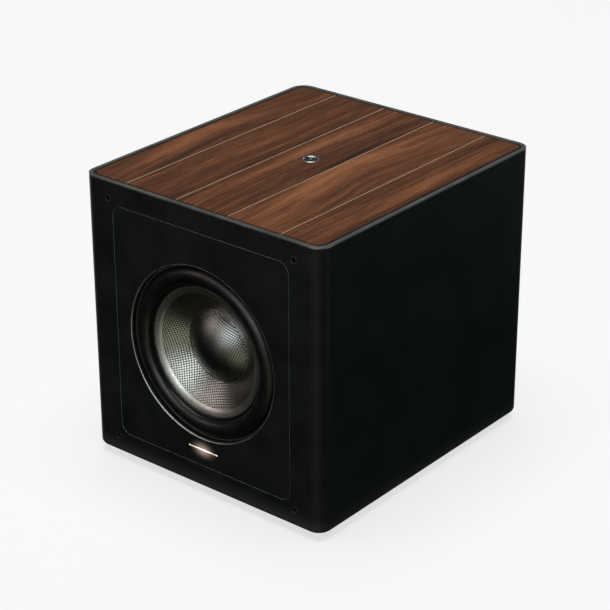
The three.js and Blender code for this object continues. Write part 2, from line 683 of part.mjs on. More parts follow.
/** The mains inlet: a deep socket with three blades, and the pocket for the fuse drawer. */
function mainsInlet() {
  const [x, z] = INLET_AT;
  const flange = fromFront(roundedRectangle(36, 60, 3, x, INLET_Z), AMP_FACE + GAP, AMP_FACE + 2.8);
  const body = fromFront(roundedRectangle(28, 50, 2, x, INLET_Z), AMP_FACE - 24, AMP_FACE + 1);
  const well = block([x - 12, AMP_FACE - 15, z - 8.5], [x + 12, AMP_FACE + 4, z + 8.5]);
  const drawer = block([x - 11.5, AMP_FACE - 20, FUSE_AT[1] - 4.5],
    [x + 11.5, AMP_FACE + 4, FUSE_AT[1] + 4.5]);
  const blade = (dx, dz) => block([x + dx - 1, AMP_FACE - 16, z + dz - 2.2],
    [x + dx + 1, AMP_FACE - 3, z + dz + 2.2]);
  const hollow = cut(join(flange, body), well, drawer);
  return [blade(-7, -1.5), blade(0, 2.5), blade(7, -1.5)]
    .reduce((sum, pin) => sum.add(solid(pin)), hollow);
}

/** The fuse drawer, with a finger lip. */
function fuseDrawer() {
  const [x, z] = FUSE_AT;
  const tray = block([x - 11.1, AMP_FACE - 19.5, z - 4.1], [x + 11.1, AMP_FACE + 2.6, z + 4.1]);
  const lip = block([x - 5, AMP_FACE + 2, z + 1.6], [x + 5, AMP_FACE + 5.5, z + 3.6]);
  return join(tray, lip);
}

/** The two-core lead from the amplifier board to the driver, along its clipped route. */
function driverLead() {
  const route = new THREE.CatmullRomCurve3([
    [72.5, FRONT + 62, DRIVER_Z], [84, FRONT + 66, DRIVER_Z - 8], [90, FRONT + 92, DRIVER_Z - 34],
    [82, -60, DRIVER_Z - 56], [74, -4, DRIVER_Z - 62], [70, 60, DRIVER_Z - 66],
    [62, 108, DRIVER_Z - 60], [56, 142, DRIVER_Z - 52],
  ].map((place) => new THREE.Vector3(...place)));
  const section = new THREE.Shape().absarc(0, 0, 2, 0, 2 * Math.PI);
  return new THREE.ExtrudeGeometry(section, { steps: 26, extrudePath: route, curveSegments: 4 });
}

function amplifier() {
  add('amp_frame', ampFrame(), BOARD);
  add('amp_plate', ampPlate(), ALUMINIUM);
  add('amp_heatsink', heatsink(), ALUMINIUM);
  add('amp_board', block([-80, 143, 92], [80, 144.6, 214]), CIRCUIT);
  add('transformer', turned([
    [12, 0], [40, 0], [45, 5], [45, 33], [40, 38], [12, 38],
  ], 24).rotateX(Math.PI / 2).translate(0, 84, BASE + WALL + GAP), COPPER);
  add('reservoir_capacitor', ampTurned([
    [0, 104], [16, 104], [17, 105], [17, 142.7], [0, 142.7],
  ], [-40, 186]), BLACK_PLASTIC);
  add('volume_knob', knob(VOLUME_AT), BLACK_PLASTIC);
  add('crossover_knob', knob(CROSSOVER_AT), BLACK_PLASTIC);
  add('control_board', controlBoard(), CIRCUIT);
  add('phase_switch', slider(PHASE_AT), BLACK_PLASTIC);
  JACKS_AT.forEach((place, i) => add(`line_input_${i + 1}`, phonoJack(place), STEEL));
  add('rocker_housing', rockerHousing(), BLACK_PLASTIC);
  add('power_rocker', powerRocker(), BLACK_PLASTIC);
  add('mains_inlet', mainsInlet(), BLACK_PLASTIC);
  add('fuse_drawer', fuseDrawer(), BLACK_PLASTIC);
  add('driver_lead', driverLead(), RUBBER_BLACK);
}

// ---- Assembly ----------------------------------------------------------------------------

cabinet();
dampingPads();
lightBar();
driver();
amplifier();

export default assembly;
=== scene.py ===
"""Looks for a small powered subwoofer: leather-wrapped cabinet, planked walnut top in a metal
frame, woven cone and dome in a rubber roll surround, and a controls plate at the rear.
+Z is up and the front faces -Y, the same frame as the CAD. Outlines, profiles and the named
sizes are in millimetres. Lights, camera and the scales of the finishes are in metres."""

import json
import math

import bmesh
import bpy
import numpy as np
from mathutils import Matrix, Vector

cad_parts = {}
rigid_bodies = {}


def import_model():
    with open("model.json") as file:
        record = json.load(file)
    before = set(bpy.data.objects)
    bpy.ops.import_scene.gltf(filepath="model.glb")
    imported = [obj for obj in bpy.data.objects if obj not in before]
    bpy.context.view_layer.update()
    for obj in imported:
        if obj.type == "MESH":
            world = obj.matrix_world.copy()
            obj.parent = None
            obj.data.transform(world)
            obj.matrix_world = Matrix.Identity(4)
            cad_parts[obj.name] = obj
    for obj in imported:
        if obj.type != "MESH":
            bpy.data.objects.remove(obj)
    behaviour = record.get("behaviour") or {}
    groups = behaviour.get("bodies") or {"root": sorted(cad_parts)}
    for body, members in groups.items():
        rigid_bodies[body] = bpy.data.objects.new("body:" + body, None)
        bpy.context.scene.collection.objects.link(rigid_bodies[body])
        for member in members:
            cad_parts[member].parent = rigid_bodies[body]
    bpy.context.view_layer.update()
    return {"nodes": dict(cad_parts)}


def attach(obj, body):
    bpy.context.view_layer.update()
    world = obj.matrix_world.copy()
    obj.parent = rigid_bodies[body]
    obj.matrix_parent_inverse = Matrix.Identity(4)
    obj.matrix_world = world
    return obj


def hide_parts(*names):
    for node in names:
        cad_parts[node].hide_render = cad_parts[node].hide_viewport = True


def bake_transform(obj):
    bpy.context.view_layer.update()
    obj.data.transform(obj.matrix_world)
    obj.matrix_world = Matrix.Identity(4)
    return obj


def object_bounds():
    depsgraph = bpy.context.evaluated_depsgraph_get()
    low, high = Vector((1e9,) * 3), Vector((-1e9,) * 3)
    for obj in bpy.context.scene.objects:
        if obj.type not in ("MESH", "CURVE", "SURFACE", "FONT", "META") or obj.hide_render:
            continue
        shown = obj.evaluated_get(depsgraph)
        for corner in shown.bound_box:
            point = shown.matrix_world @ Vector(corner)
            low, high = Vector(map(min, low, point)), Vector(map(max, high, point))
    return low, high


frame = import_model()
MM = 0.001
NODES = frame["nodes"]


# ---- Shader helpers ----------------------------------------------------------------------


class Graph:
    """A node tree, with short calls for the nodes that the finishes use."""

    def __init__(self, tree):
        self.tree = tree

    def node(self, kind, **properties):
        made = self.tree.nodes.new(kind)
        for key, value in properties.items():
            setattr(made, key, value)
        return made

    def join(self, value, socket):
        """Links a socket or sets a constant. None leaves the input as it is."""
        if isinstance(value, bpy.types.NodeSocket):
            self.tree.links.new(value, socket)
        elif value is not None:
            socket.default_value = value

    def fill(self, made, *values):
        """Joins the values to the node's first inputs and returns its first output."""
        for socket, value in zip(made.inputs, values):
            self.join(value, socket)
        return made.outputs[0]

    def math(self, operation, a, b=None):
        return self.fill(self.node("ShaderNodeMath", operation=operation), a, b)

    def add(self, a, b):
        return self.math("ADD", a, b)

    def less(self, a, b):
        return self.math("SUBTRACT", a, b)

    def times(self, a, b):
        return self.math("MULTIPLY", a, b)

    def vector(self, operation, a, b=None):
        made = self.node("ShaderNodeVectorMath", operation=operation)
        self.join(a, made.inputs[0])
        self.join(b, made.inputs["Scale" if operation == "SCALE" else 1])
        return made.outputs["Value" if operation in ("DOT_PRODUCT", "LENGTH") else "Vector"]

    def combine(self, x, y, z=0):
        return self.fill(self.node("ShaderNodeCombineXYZ"), x, y, z)

    def remap(self, value, low, high, out_low=0.0, out_high=1.0, ease="LINEAR"):
        made = self.node("ShaderNodeMapRange", clamp=True, interpolation_type=ease)
        return self.fill(made, value, low, high, out_low, out_high)

    def mix(self, share, a, b):
        """Mixes two colours, each a socket or three numbers."""
        made = self.node("ShaderNodeMix", data_type="RGBA")
        inputs = [s for s in made.inputs if s.enabled]
        for socket, value in zip(inputs, (share, a, b)):
            self.join((*value, 1) if isinstance(value, tuple) else value, socket)
        return next(s for s in made.outputs if s.enabled)


class Paint(Graph):
    """A material whose patterns are laid out in the piece's own coordinates, in metres."""

    def __init__(self, name, **settings):
        self.material = bpy.data.materials.new(name)
        self.material.use_nodes = True
        super().__init__(self.material.node_tree)
        self.shader = self.tree.nodes["Principled BSDF"]
        for key, value in settings.items():
            self.set(key.replace("_", " "), value)
        self.place = self.node("ShaderNodeTexCoord").outputs["Object"]

    def set(self, name, value):
        """Sets or links one input of the shader, a colour given as three numbers."""
        socket = next(s for s in self.shader.inputs if s.name.lower() == name.lower())
        self.join((*value, 1) if isinstance(value, tuple) else value, socket)

    def scaled(self, scale, turn=0, offset=(0, 0, 0), source=None):
        """The piece's coordinates, turned about Y, then stretched by one scale or three."""
        place = source or self.place
        if turn:
            turned_place = self.node("ShaderNodeMapping")
            self.join(place, turned_place.inputs["Vector"])
            turned_place.inputs["Rotation"].default_value = (0, turn, 0)
            place = turned_place.outputs[0]
        made = self.node("ShaderNodeMapping")
        self.join(place, made.inputs["Vector"])
        made.inputs["Scale"].default_value = scale if isinstance(scale, tuple) else (scale,) * 3
        made.inputs["Location"].default_value = offset
        return made.outputs[0]

    def axes(self, source=None):
        made = self.node("ShaderNodeSeparateXYZ")
        self.join(source or self.place, made.inputs[0])
        return made.outputs

    def noise(self, scale, detail=3, roughness=0.5, **mapping):
        made = self.node("ShaderNodeTexNoise")
        for key, value in (("Vector", self.scaled(scale, **mapping)), ("Scale", 1),
                           ("Detail", detail), ("Roughness", roughness)):
            self.join(value, made.inputs[key])
        return made.outputs["Fac"]

    def cells(self, scale, feature="F1"):
        made = self.node("ShaderNodeTexVoronoi", feature=feature)
        self.join(self.scaled(scale), made.inputs["Vector"])
        self.join(1, made.inputs["Scale"])
        return made.outputs["Distance"]

    def ramp(self, value, *stops):
        """A colour ramp, its stops given as (position, colour)."""
        made = self.node("ShaderNodeValToRGB")
        elements = made.color_ramp.elements
        while len(elements) < len(stops):
            elements.new(0.5)
        for element, (position, colour) in zip(elements, stops):
            element.position = position
            element.color = (*colour, 1)
        return self.fill(made, value)

    def bump(self, height, distance, strength):
        made = self.node("ShaderNodeBump")
        made.inputs["Strength"].default_value = strength
        made.inputs["Distance"].default_value = distance
        self.join(height, made.inputs["Height"])
        self.join(made.outputs[0], self.shader.inputs["Normal"])


def shade(colour, factor):
    return tuple(factor * c for c in colour)


# ---- Finishes ----------------------------------------------------------------------------

LEATHER_BLACK, FLOOR_SHEEN_GREY = (0.0046, 0.0062, 0.0057), (0.060, 0.056, 0.055)
RUBBER_BLACK, PLASTIC_BLACK = (0.0022, 0.0022, 0.0025), (0.012, 0.012, 0.013)


def leather(name, glow=None):
    """Soft black wrap: pebble grain, faint mottling, and a painted sheen that makes it paler
    towards its lower edge.
    A glow is (z, reach, colour): the warm light that a lamp there throws on the wrap."""
    p = Paint(name, specular_ior_level=0.22, sheen_weight=0.30, sheen_roughness=0.12)
    grain = p.cells(1150, "SMOOTH_F1")
    fine = p.noise(2600, 4)
    patches = p.noise(26, 5, 0.6)
    wear = p.noise(7, 2)
    x, _, z = p.axes()
    # Painted sheen: the wrap turns paler within its lowest few centimetres, the floor's
    # reflection painted into its colour.
    floor_sheen = p.remap(p.add(z, p.times(patches, 0.010)), 0.036, 0.010)
    black = p.mix(p.remap(patches, 0.35, 0.7), LEATHER_BLACK, shade(LEATHER_BLACK, 1.9))
    p.set("base color", p.mix(p.math("POWER", floor_sheen, 1.6), black, FLOOR_SHEEN_GREY))
    if glow:
        height, reach, colour = glow
        # Painted light: the wrap itself glows warm round the lamp, fading out over the given
        # reach.
        away = p.vector("LENGTH", p.combine(p.times(x, 0.62), 0, p.less(z, height)))
        fade = p.remap(away, reach, 0, ease="SMOOTHSTEP")
        p.set("emission color", colour)
        p.set("emission strength", p.times(p.math("POWER", fade, 3.0), 0.42))
    p.set("roughness", p.add(p.remap(wear, 0.3, 0.7, 0.43, 0.52),
                             p.remap(patches, 0.35, 0.65, -0.03, 0.04)))
    p.bump(p.add(p.times(grain, -1.0), p.times(fine, 0.35)), 0.00012, 0.5)
    return p


def rubber(name, colour=RUBBER_BLACK, roughness=0.37):
    """Moulded rubber with a faint bloom and fine texture."""
    p = Paint(name)
    bloom = p.noise(60, 4)
    p.set("base color", p.mix(p.remap(bloom, 0.35, 0.7), colour, shade(colour, 1.6)))
    p.set("roughness", p.remap(bloom, 0.3, 0.7, roughness - 0.04, roughness + 0.06))
    p.bump(p.noise(2500, 2), 0.00004, 0.35)
    return p


def moulded(name, colour=PLASTIC_BLACK, roughness=0.45):
    """Spark-eroded plastic, a fine even texture."""
    p = Paint(name)
    soft = p.noise(45)
    p.set("base color", p.mix(soft, colour, shade(colour, 1.5)))
    p.set("roughness", p.remap(soft, 0.3, 0.7, roughness - 0.05, roughness + 0.07))
    p.bump(p.noise(1900), 0.00006, 0.4)
    return p


def metal(name, colour, roughness, stretch=(30, 30, 3000), depth=0.00002, dark=0.75):
    """Brushed or drawn metal, its scratches along the least stretched axis."""
    p = Paint(name, metallic=1.0)
    lines = p.noise(stretch, 4, 0.65)
    soft = p.noise(40)
    shine = p.remap(p.times(lines, soft), 0.1, 0.42)
    p.set("base color", p.mix(shine, shade(colour, dark), colour))
    p.set("roughness", p.add(p.remap(lines, 0.3, 0.7, roughness - 0.06, roughness + 0.06),
                             p.remap(soft, 0.3, 0.7, -0.03, 0.04)))
    p.bump(lines, depth, 0.5)
    return p


def painted(name, colour, roughness):
    """Textured powder coat on metal, with a soft orange-peel surface."""
    p = Paint(name)
    peel = p.noise(700)
    p.set("base color", p.mix(p.remap(p.noise(30), 0.3, 0.7), colour, shade(colour, 1.45)))
    p.set("roughness", p.remap(peel, 0.35, 0.65, roughness - 0.06, roughness + 0.08))
    p.bump(peel, 0.00009, 0.5)
    return p


WALNUT_STOPS = ((0.16, (0.026, 0.0130, 0.0080)), (0.34, (0.062, 0.0275, 0.0155)),
                (0.50, (0.122, 0.0475, 0.0240)), (0.66, (0.235, 0.0880, 0.0420)),
                (0.88, (0.420, 0.1800, 0.0820)))
PORE_BROWN = (0.014, 0.005, 0.003)
# Scale across and along the grain, detail, roughness and weight.
WALNUT_STREAKS = ((60, 1.2, 2, 0.5, 0.30), (210, 4.0, 3, 0.6, 0.44),
                  (480, 11, 4, 0.65, 0.70), (1100, 30, 4, 0.7, 0.80))


def walnut(name, shift, tone, light_bands, dark_bands, arch, heart=0.02):
    """Oiled walnut veneer with its grain along Y. Bands are (x, half width, strength) in metres,
    strongest near y = heart. Arch bends the figure sideways near the middle of the plank, by
    that much per metre squared."""
    p = Paint(name, specular_ior_level=0.15)
    offset = (shift * 3.1, shift * 1.7, shift * 0.9)
    x, y, _ = p.axes()
    wander = p.noise((9, 3.2, 6), offset=offset)
    square = p.times(y, y)
    bend = p.math("DIVIDE", p.times(square, arch), p.add(p.times(square, 130), 1))
    across = p.add(p.add(x, bend), p.times(p.less(wander, 0.5), 0.022))
    bent = p.combine(across, y)
    level = 0.5
    for wide, long, detail, rough, weight in WALNUT_STREAKS:
        streaks = p.noise((wide, long, 1), detail, rough, offset=offset, source=bent)
        level = p.add(p.times(p.less(streaks, 0.5), weight), level)
    from_heart = p.math("ABSOLUTE", p.less(y, heart))
    figured = p.remap(from_heart, 0.17, 0.02, 0.15, 1, "SMOOTHSTEP")
    for bands, sign in ((light_bands, 1), (dark_bands, -1)):
        for middle, half, strength in bands:
            distance = p.math("ABSOLUTE", p.less(across, middle))
            near = p.remap(distance, half, 0, 0, sign * strength, "SMOOTHSTEP")
            level = p.add(level, p.times(near, figured))
    wood = p.ramp(p.add(level, tone), *WALNUT_STOPS)
    pores = p.noise((3400, 120, 600), 2, 0.7, offset=offset)
    dash = p.remap(pores, 0.60, 0.70)
    p.set("base color", p.mix(p.times(dash, 0.45), wood, PORE_BROWN))
    p.set("roughness", p.remap(level, 0.3, 0.75, 0.50, 0.40))
    fibre = p.noise((2300, 70, 300), 3, 0.6, offset=offset)
    p.bump(p.less(p.times(fibre, 0.5), dash), 0.00005, 0.5)
    return p


def weave(name, pitch, turn, bright, dark, roughness, depth):
    """Plain-woven metallised fibre: two families of crowned threads, with painted shade that
    darkens the gaps between them.
    """
    p = Paint(name, metallic=1.0)
    wobble = p.times(p.noise(60, 2), 0.9)
    u, _, v = p.axes(p.scaled(math.pi / pitch, turn))
    u, v = p.add(u, wobble), p.less(v, wobble)
    ridge, cell = [], []
    for phase in (u, v):
        ridge.append(p.math("POWER", p.math("ABSOLUTE", p.math("SINE", phase)), 0.7))
        cell.append(p.math("FLOOR", p.math("DIVIDE", phase, math.pi)))
    on_top = p.math("ABSOLUTE", p.math("MODULO", p.add(*cell), 2))
    height = p.times(p.times(*ridge), p.add(p.times(on_top, 0.10), 0.90))
    strand = p.noise(1500, 2)
    # Painted shade: the colour darkens from the thread crowns into the gaps between them.
    lit = p.times(p.remap(height, 0.10, 0.80), p.remap(strand, 0.2, 0.8, 0.8, 1.1))
    p.set("base color", p.mix(lit, dark, bright))
    p.set("roughness", p.remap(height, 0.1, 0.8, roughness + 0.15, roughness))
    p.bump(height, depth, 1.0)
    return p


def cast(name, colour, roughness, metallic=0.0, depth=0.00008):
    """An even fine-grained finish for small pieces."""
    p = Paint(name, metallic=metallic)
    grain = p.noise(420, 4)
    mottle = p.times(grain, p.noise(24))
    p.set("base color", p.mix(mottle, shade(colour, 1.25), shade(colour, 0.55)))
    p.set("roughness", p.remap(grain, 0.3, 0.7, roughness - 0.08, roughness + 0.08))
    p.bump(grain, depth, 0.4)
    return p


def board_fibre(name):
    """Sawn fibreboard with pressed chips."""
    p = Paint(name, roughness=0.85)
    chips = p.cells((700, 260, 700))
    dust = p.noise(300, 5)
    p.set("base color", p.mix(p.times(chips, dust), (0.30, 0.20, 0.115), (0.15, 0.09, 0.048)))
    p.bump(dust, 0.0002, 0.6)
    return p


def circuit(name):
    """Green board with a darker track pattern under its lacquer."""
    p = Paint(name, roughness=0.35)
    tracks = p.cells(210, "DISTANCE_TO_EDGE")
    p.set("base color", p.mix(p.remap(tracks, 0.04, 0.07), (0.03, 0.15, 0.06),
                              (0.008, 0.055, 0.02)))
    p.bump(tracks, 0.0001, 0.3)
    return p


def cloth(name):
    """Resin-stiffened cloth for the spider."""
    p = Paint(name, roughness=0.8)
    u, _, w = p.axes(p.scaled(2600))
    threads = p.times(p.math("SINE", u), p.math("SINE", w))
    p.set("base color", p.mix(p.remap(threads, -1, 1), (0.30, 0.17, 0.05), (0.52, 0.33, 0.11)))
    p.bump(threads, 0.0001, 0.7)
    return p


def foam(name):
    """Open-cell acoustic foam."""
    p = Paint(name, roughness=0.95)
    open_cells = p.cells(900)
    p.set("base color", p.mix(open_cells, (0.05, 0.05, 0.055), (0.012, 0.012, 0.014)))
    p.bump(open_cells, 0.0006, 0.8)
    return p


def windings(name):
    """Lacquered copper wire laid side by side."""
    p = Paint(name, metallic=1.0)
    _, along, up = p.axes()
    turns = p.math("SINE", p.times(p.add(along, up), 9000))
    p.set("base color", p.mix(p.remap(turns, -1, 1), (0.16, 0.05, 0.02), (0.62, 0.26, 0.11)))
    p.set("roughness", p.remap(p.noise(150, 2), 0.3, 0.7, 0.25, 0.45))
    p.bump(turns, 0.0001, 0.7)
    return p


def lit_bar(name, half_length):
    """A diffusing lens lit from behind, whitest at its middle and its ends."""
    p = Paint(name, roughness=0.35)
    reach = p.math("ABSOLUTE", p.axes()[0])
    middle = p.remap(reach, half_length * 0.75, 0, ease="SMOOTHSTEP")
    tip = p.remap(reach, half_length * 0.90, half_length, ease="SMOOTHSTEP")
    ripple = p.noise(500, 2)
    p.set("base color", p.mix(ripple, (0.85, 0.80, 0.76), (0.95, 0.92, 0.90)))
    p.set("emission color", p.mix(middle, (1.0, 0.80, 0.70), (1.0, 0.90, 0.84)))
    p.set("emission strength", p.add(p.add(p.times(middle, 2.2), p.times(tip, 0.9)), 0.42))
    p.bump(ripple, 0.00003, 0.3)
    return p


# ---- Mesh helpers ------------------------------------------------------------------------


def link(piece):
    bpy.context.scene.collection.objects.link(piece)
    return piece


def add_piece(name, mesh, paint, node=None, body="cabinet", smooth_angle=35):
    """Makes the object, shades it smooth within the angle, seats it on its body (unless that
    is None) and has it stand in for a CAD node."""
    for polygon in mesh.polygons:
        polygon.use_smooth = True
    mesh.set_sharp_from_angle(angle=math.radians(smooth_angle))
    mesh.materials.append(paint.material)
    piece = link(bpy.data.objects.new(name, mesh))
    piece.modifiers.new("normals", "WEIGHTED_NORMAL").keep_sharp = True
    if body:
        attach(piece, body)
    if node:
        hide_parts(node)
    return piece


def from_faces(points, faces):
    mesh = bpy.data.meshes.new("mesh")
    mesh.from_pydata([tuple(p) for p in points], [], faces)
    shell = bmesh.new()
    shell.from_mesh(mesh)
    bmesh.ops.remove_doubles(shell, verts=shell.verts, dist=1e-7)
    bmesh.ops.recalc_face_normals(shell, faces=shell.faces)
    shell.to_mesh(mesh)
    shell.free()
    return mesh


AXES = {
    "y": lambda r, d, c, s: (r * c, d, r * s),
    "z": lambda r, d, c, s: (r * c, r * s, d),
}


def turned(profile, centre, axis="y", segments=160):
    """A closed profile of (radius, along), turned about an axis through centre, in metres."""
    place = AXES[axis]
    centre = Vector(centre)
    points, faces = [], []
    count = len(profile)
    for i in range(segments):
        c, s = math.cos(math.tau * i / segments), math.sin(math.tau * i / segments)
        points += [Vector(place(r * MM, d * MM, c, s)) + centre for r, d in profile]
    on_axis = [abs(r) < 1e-9 for r, _ in profile]
    for i in range(segments):
        a, b = i * count, ((i + 1) % segments) * count
        for k in range(count):
            n = (k + 1) % count
            if on_axis[k] and on_axis[n]:
                continue
            face = [a + k, a + n]
            if not on_axis[n]:
                face.append(b + n)
            if not on_axis[k]:
                face.append(b + k)
            faces.append(face)
    return from_faces(points, faces)


def rounded(profile, radii, steps=4):
    """A closed profile with the corners named in radii ({index: radius}) rounded to arcs."""
    out = []
    count = len(profile)
    for i, corner in enumerate(profile):
        here = Vector(corner)
        if i not in radii:
            out.append(tuple(here))
            continue
        before = Vector(profile[i - 1]) - here
        after = Vector(profile[(i + 1) % count]) - here
        angle = before.angle(after)
        reach = min(radii[i] / math.tan(angle / 2), 0.49 * before.length, 0.49 * after.length)
        true_radius = reach * math.tan(angle / 2)
        before.normalize()
        after.normalize()
        middle = here + (before + after).normalized() * (true_radius / math.sin(angle / 2))
        first, last = here + before * reach - middle, here + after * reach - middle
        sweep = first.angle_signed(last)
        for k in range(steps + 1):
            c, s = math.cos(-sweep * k / steps), math.sin(-sweep * k / steps)
            out.append((middle.x + c * first.x - s * first.y,
                        middle.y + s * first.x + c * first.y))
    return out


def outline(width, height, radius, x=0.0, y=0.0, steps=14):
    """A rectangle with round corners, counter-clockwise."""
    points = []
    for quarter, (sx, sy) in enumerate(((1, 1), (-1, 1), (-1, -1), (1, -1))):
        cx, cy = x + sx * (width / 2 - radius), y + sy * (height / 2 - radius)
        for k in range(steps + 1):
            angle = math.pi / 2 * (quarter + k / steps)
            points.append((cx + radius * math.cos(angle), cy + radius * math.sin(angle)))
    return points


def circle(radius, x=0.0, y=0.0, steps=192, tall=None):
    """A circle, or an ellipse if tall gives its other radius."""
    return [(x + radius * math.cos(math.tau * k / steps),
             y + (tall or radius) * math.sin(math.tau * k / steps)) for k in range(steps)]


def extruded(points, low, high, place):
    count = len(points)
    ring = [place(p, t) for t in (low, high) for p in points]
    faces = [list(range(count)), list(range(count, 2 * count))]
    faces += [[i, (i + 1) % count, count + (i + 1) % count, count + i] for i in range(count)]
    return from_faces(ring, faces)


def upright(points, low, high):
    """An outline in X and Y as a solid between two heights."""
    return extruded(points, low, high, lambda p, t: (p[0] * MM, p[1] * MM, t * MM))


def facing(points, near, far):
    """An outline in X and Z as a solid between two places along Y."""
    return extruded(points, near, far, lambda p, t: (p[0] * MM, t * MM, p[1] * MM))


def bored(radius, near, far, x, z, steps=48):
    """A round tool along Y."""
    return facing(circle(radius, x, z, steps), near, far)


def box_mesh(low, high):
    (x0, y0, z0), (x1, y1, z1) = low, high
    return upright([(x0, y0), (x1, y0), (x1, y1), (x0, y1)], z0, z1)


def swung(x, z, angle, corners):
    """Corners given along and across a direction, placed about (x, z)."""
    c, s = math.cos(angle), math.sin(angle)
    return [(x + c * u - s * v, z + s * u + c * v) for u, v in corners]


def combined(base, tools, operation="DIFFERENCE"):
    """The base mesh with tool meshes cut away or joined on."""
    piece = link(bpy.data.objects.new("base", base))
    helpers = []
    for tool in tools:
        helper = link(bpy.data.objects.new("tool", tool))
        modifier = piece.modifiers.new("cut", "BOOLEAN")
        modifier.operation, modifier.solver, modifier.object = operation, "EXACT", helper
        helpers.append(helper)
    bpy.context.view_layer.update()
    evaluated = piece.evaluated_get(bpy.context.evaluated_depsgraph_get())
    mesh = bpy.data.meshes.new_from_object(evaluated)
    for spent in [piece, *helpers]:
        bpy.data.objects.remove(spent)
    return mesh


def soften(mesh, width, where=None, segments=3, angle=30):
    """Rounds the mesh's edges sharper than angle, or only those whose middle passes where."""
    shell = bmesh.new()
    shell.from_mesh(mesh)
    bmesh.ops.remove_doubles(shell, verts=shell.verts, dist=1e-6)
    bmesh.ops.dissolve_limit(shell, angle_limit=math.radians(0.5), verts=shell.verts,
                             edges=shell.edges)
    edges = []
    for edge in shell.edges:
        if len(edge.link_faces) == 2 and edge.calc_face_angle(0) > math.radians(angle):
            middle = (edge.verts[0].co + edge.verts[1].co) / 2 / MM
            if where is None or where(middle):
                edges.append(edge)
    bmesh.ops.bevel(shell, geom=edges, offset=width * MM, offset_type="OFFSET",
                    segments=segments, profile=0.5, affect="EDGES", clamp_overlap=True)
    shell.to_mesh(mesh)
    shell.free()
    return mesh


# ---- Sizes, as the CAD has them ------------------------------------------------------------

LOW_CORNER, HIGH_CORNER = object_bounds()
WIDTH = round((HIGH_CORNER.x - LOW_CORNER.x) / MM, 2)
DEPTH = round((HIGH_CORNER.y - LOW_CORNER.y) / MM, 2)
TOP = round(HIGH_CORNER.z / MM, 2)
FRONT, REAR = -DEPTH / 2, DEPTH / 2
BASE, WALL, CORNER, LOWER_EDGE = 8, 18, 17, 6
GAP = 0.3
TRIM_WIDTH, TRIM_THICK, PLANK_THICK, SHADOW_GASKET_WIDTH = 7, 1.4, 6, 1.9
RIM = TOP - TRIM_THICK - GAP
INLAY_X, INLAY_HALF = [-107.1, -35.7, 35.7, 107.1], 0.6
BADGE_RADIUS, BADGE_BORE = 10, 7.6
PANEL_W, PANEL_H, PANEL_R, PANEL_Z, PANEL_DEEP = 245, 276.6, 13.5, 173.7, 7
SEAM = 0.6
OPENING, DRIVER_Z = 100.6, 170.5
DRIVER = Vector((0, FRONT * MM, DRIVER_Z * MM))
LIGHT_Z, LIGHT_HALF, LIGHT_TALL = 55.5, 20.5, 1.3
SOCKETS = [(sx * 128.4, z) for z in (28.5, TOP - 20.5) for sx in (-1, 1)]
FOOT_X, FOOT_Y = 122, 142
AMP_W, AMP_H, AMP_R, AMP_Z, AMP_PLATE = 196, 246, 8, 173, 3
AMP_FACE = REAR - 13.5
DIALS, DIAL_Z, DIAL_TOP = (("volume", 58), ("crossover", 10)), 170, REAR - 1
JACKS = ((66, 122), (42, 122))
SLIDER, ROCKER, INLET = (-40, 170), (10, 78), (-45, 86)
OVER = 1  # How far a cutting tool runs past the surface that it cuts.


def footprint(inset, steps=14):
    """The cabinet's outline seen from above, drawn in by inset."""
    return outline(WIDTH - 2 * inset, DEPTH - 2 * inset, CORNER - inset, steps=steps)


def panel_outline(inset):
    return outline(PANEL_W - 2 * inset, PANEL_H - 2 * inset, PANEL_R - inset, 0, PANEL_Z)


# ---- Cabinet -------------------------------------------------------------------------------


def make_cabinet(wrap, panel_wrap):
    """The four-sided wrap, rounded at every edge that the hand meets, and the front panel."""
    tube = soften(upright(footprint(0, 20), BASE, RIM), LOWER_EDGE, lambda p: p.z < BASE + 0.1, 8)
    shell = combined(tube, [
        upright(outline(WIDTH - 2 * WALL, DEPTH - 2 * WALL, 4, steps=4), BASE - OVER, TOP),
        upright(footprint(TRIM_WIDTH), TOP - PLANK_THICK - GAP, TOP + OVER),
        facing(panel_outline(0), FRONT - OVER, FRONT + WALL + OVER),
        facing(outline(AMP_W, AMP_H, AMP_R, 0, AMP_Z), REAR - WALL - OVER, REAR + OVER),
        *(bored(4.9, FRONT - OVER, FRONT + 12.5, x, z) for x, z in SOCKETS)])
    shell = soften(shell, 0.7, lambda p: abs(p.y) > REAR - 0.2 and BASE + 8 < p.z < TOP - 12, 3)
    shell = soften(shell, 0.4, lambda p: p.z > RIM - 0.1, 2)
    add_piece("cabinet_wrap", shell, wrap, "cabinet_shell")

    back = FRONT + PANEL_DEEP
    half, reach = LIGHT_HALF + GAP, LIGHT_TALL / 2 + GAP
    opening = bored(OPENING, FRONT - OVER, back + OVER, 0, DRIVER_Z, 256)
    slot = facing(outline(2 * half, 2 * reach, 0.5, 0, LIGHT_Z, 3), FRONT - OVER, back + OVER)
    groove = turned([(OPENING - 1, -1), (OPENING + 1.95, -1), (OPENING + 1.95, 3.1),
                     (OPENING - 1, 3.1)], DRIVER, segments=256)
    panel = combined(facing(panel_outline(SEAM), FRONT, back), [opening, groove, slot])
    on_face = lambda p: p.y < FRONT + 0.2
    by_slot = lambda p: abs(p.x) < half + 2 and abs(p.z - LIGHT_Z) < 4
    by_opening = lambda p: math.hypot(p.x, p.z - DRIVER_Z) <= OPENING + 8
    panel = soften(panel, 0.8, lambda p: on_face(p) and not by_opening(p) and not by_slot(p), 4)
    panel = soften(panel, 0.25, lambda p: on_face(p) and by_slot(p), 2)
    add_piece("front_wrap", panel, panel_wrap, "front_panel")


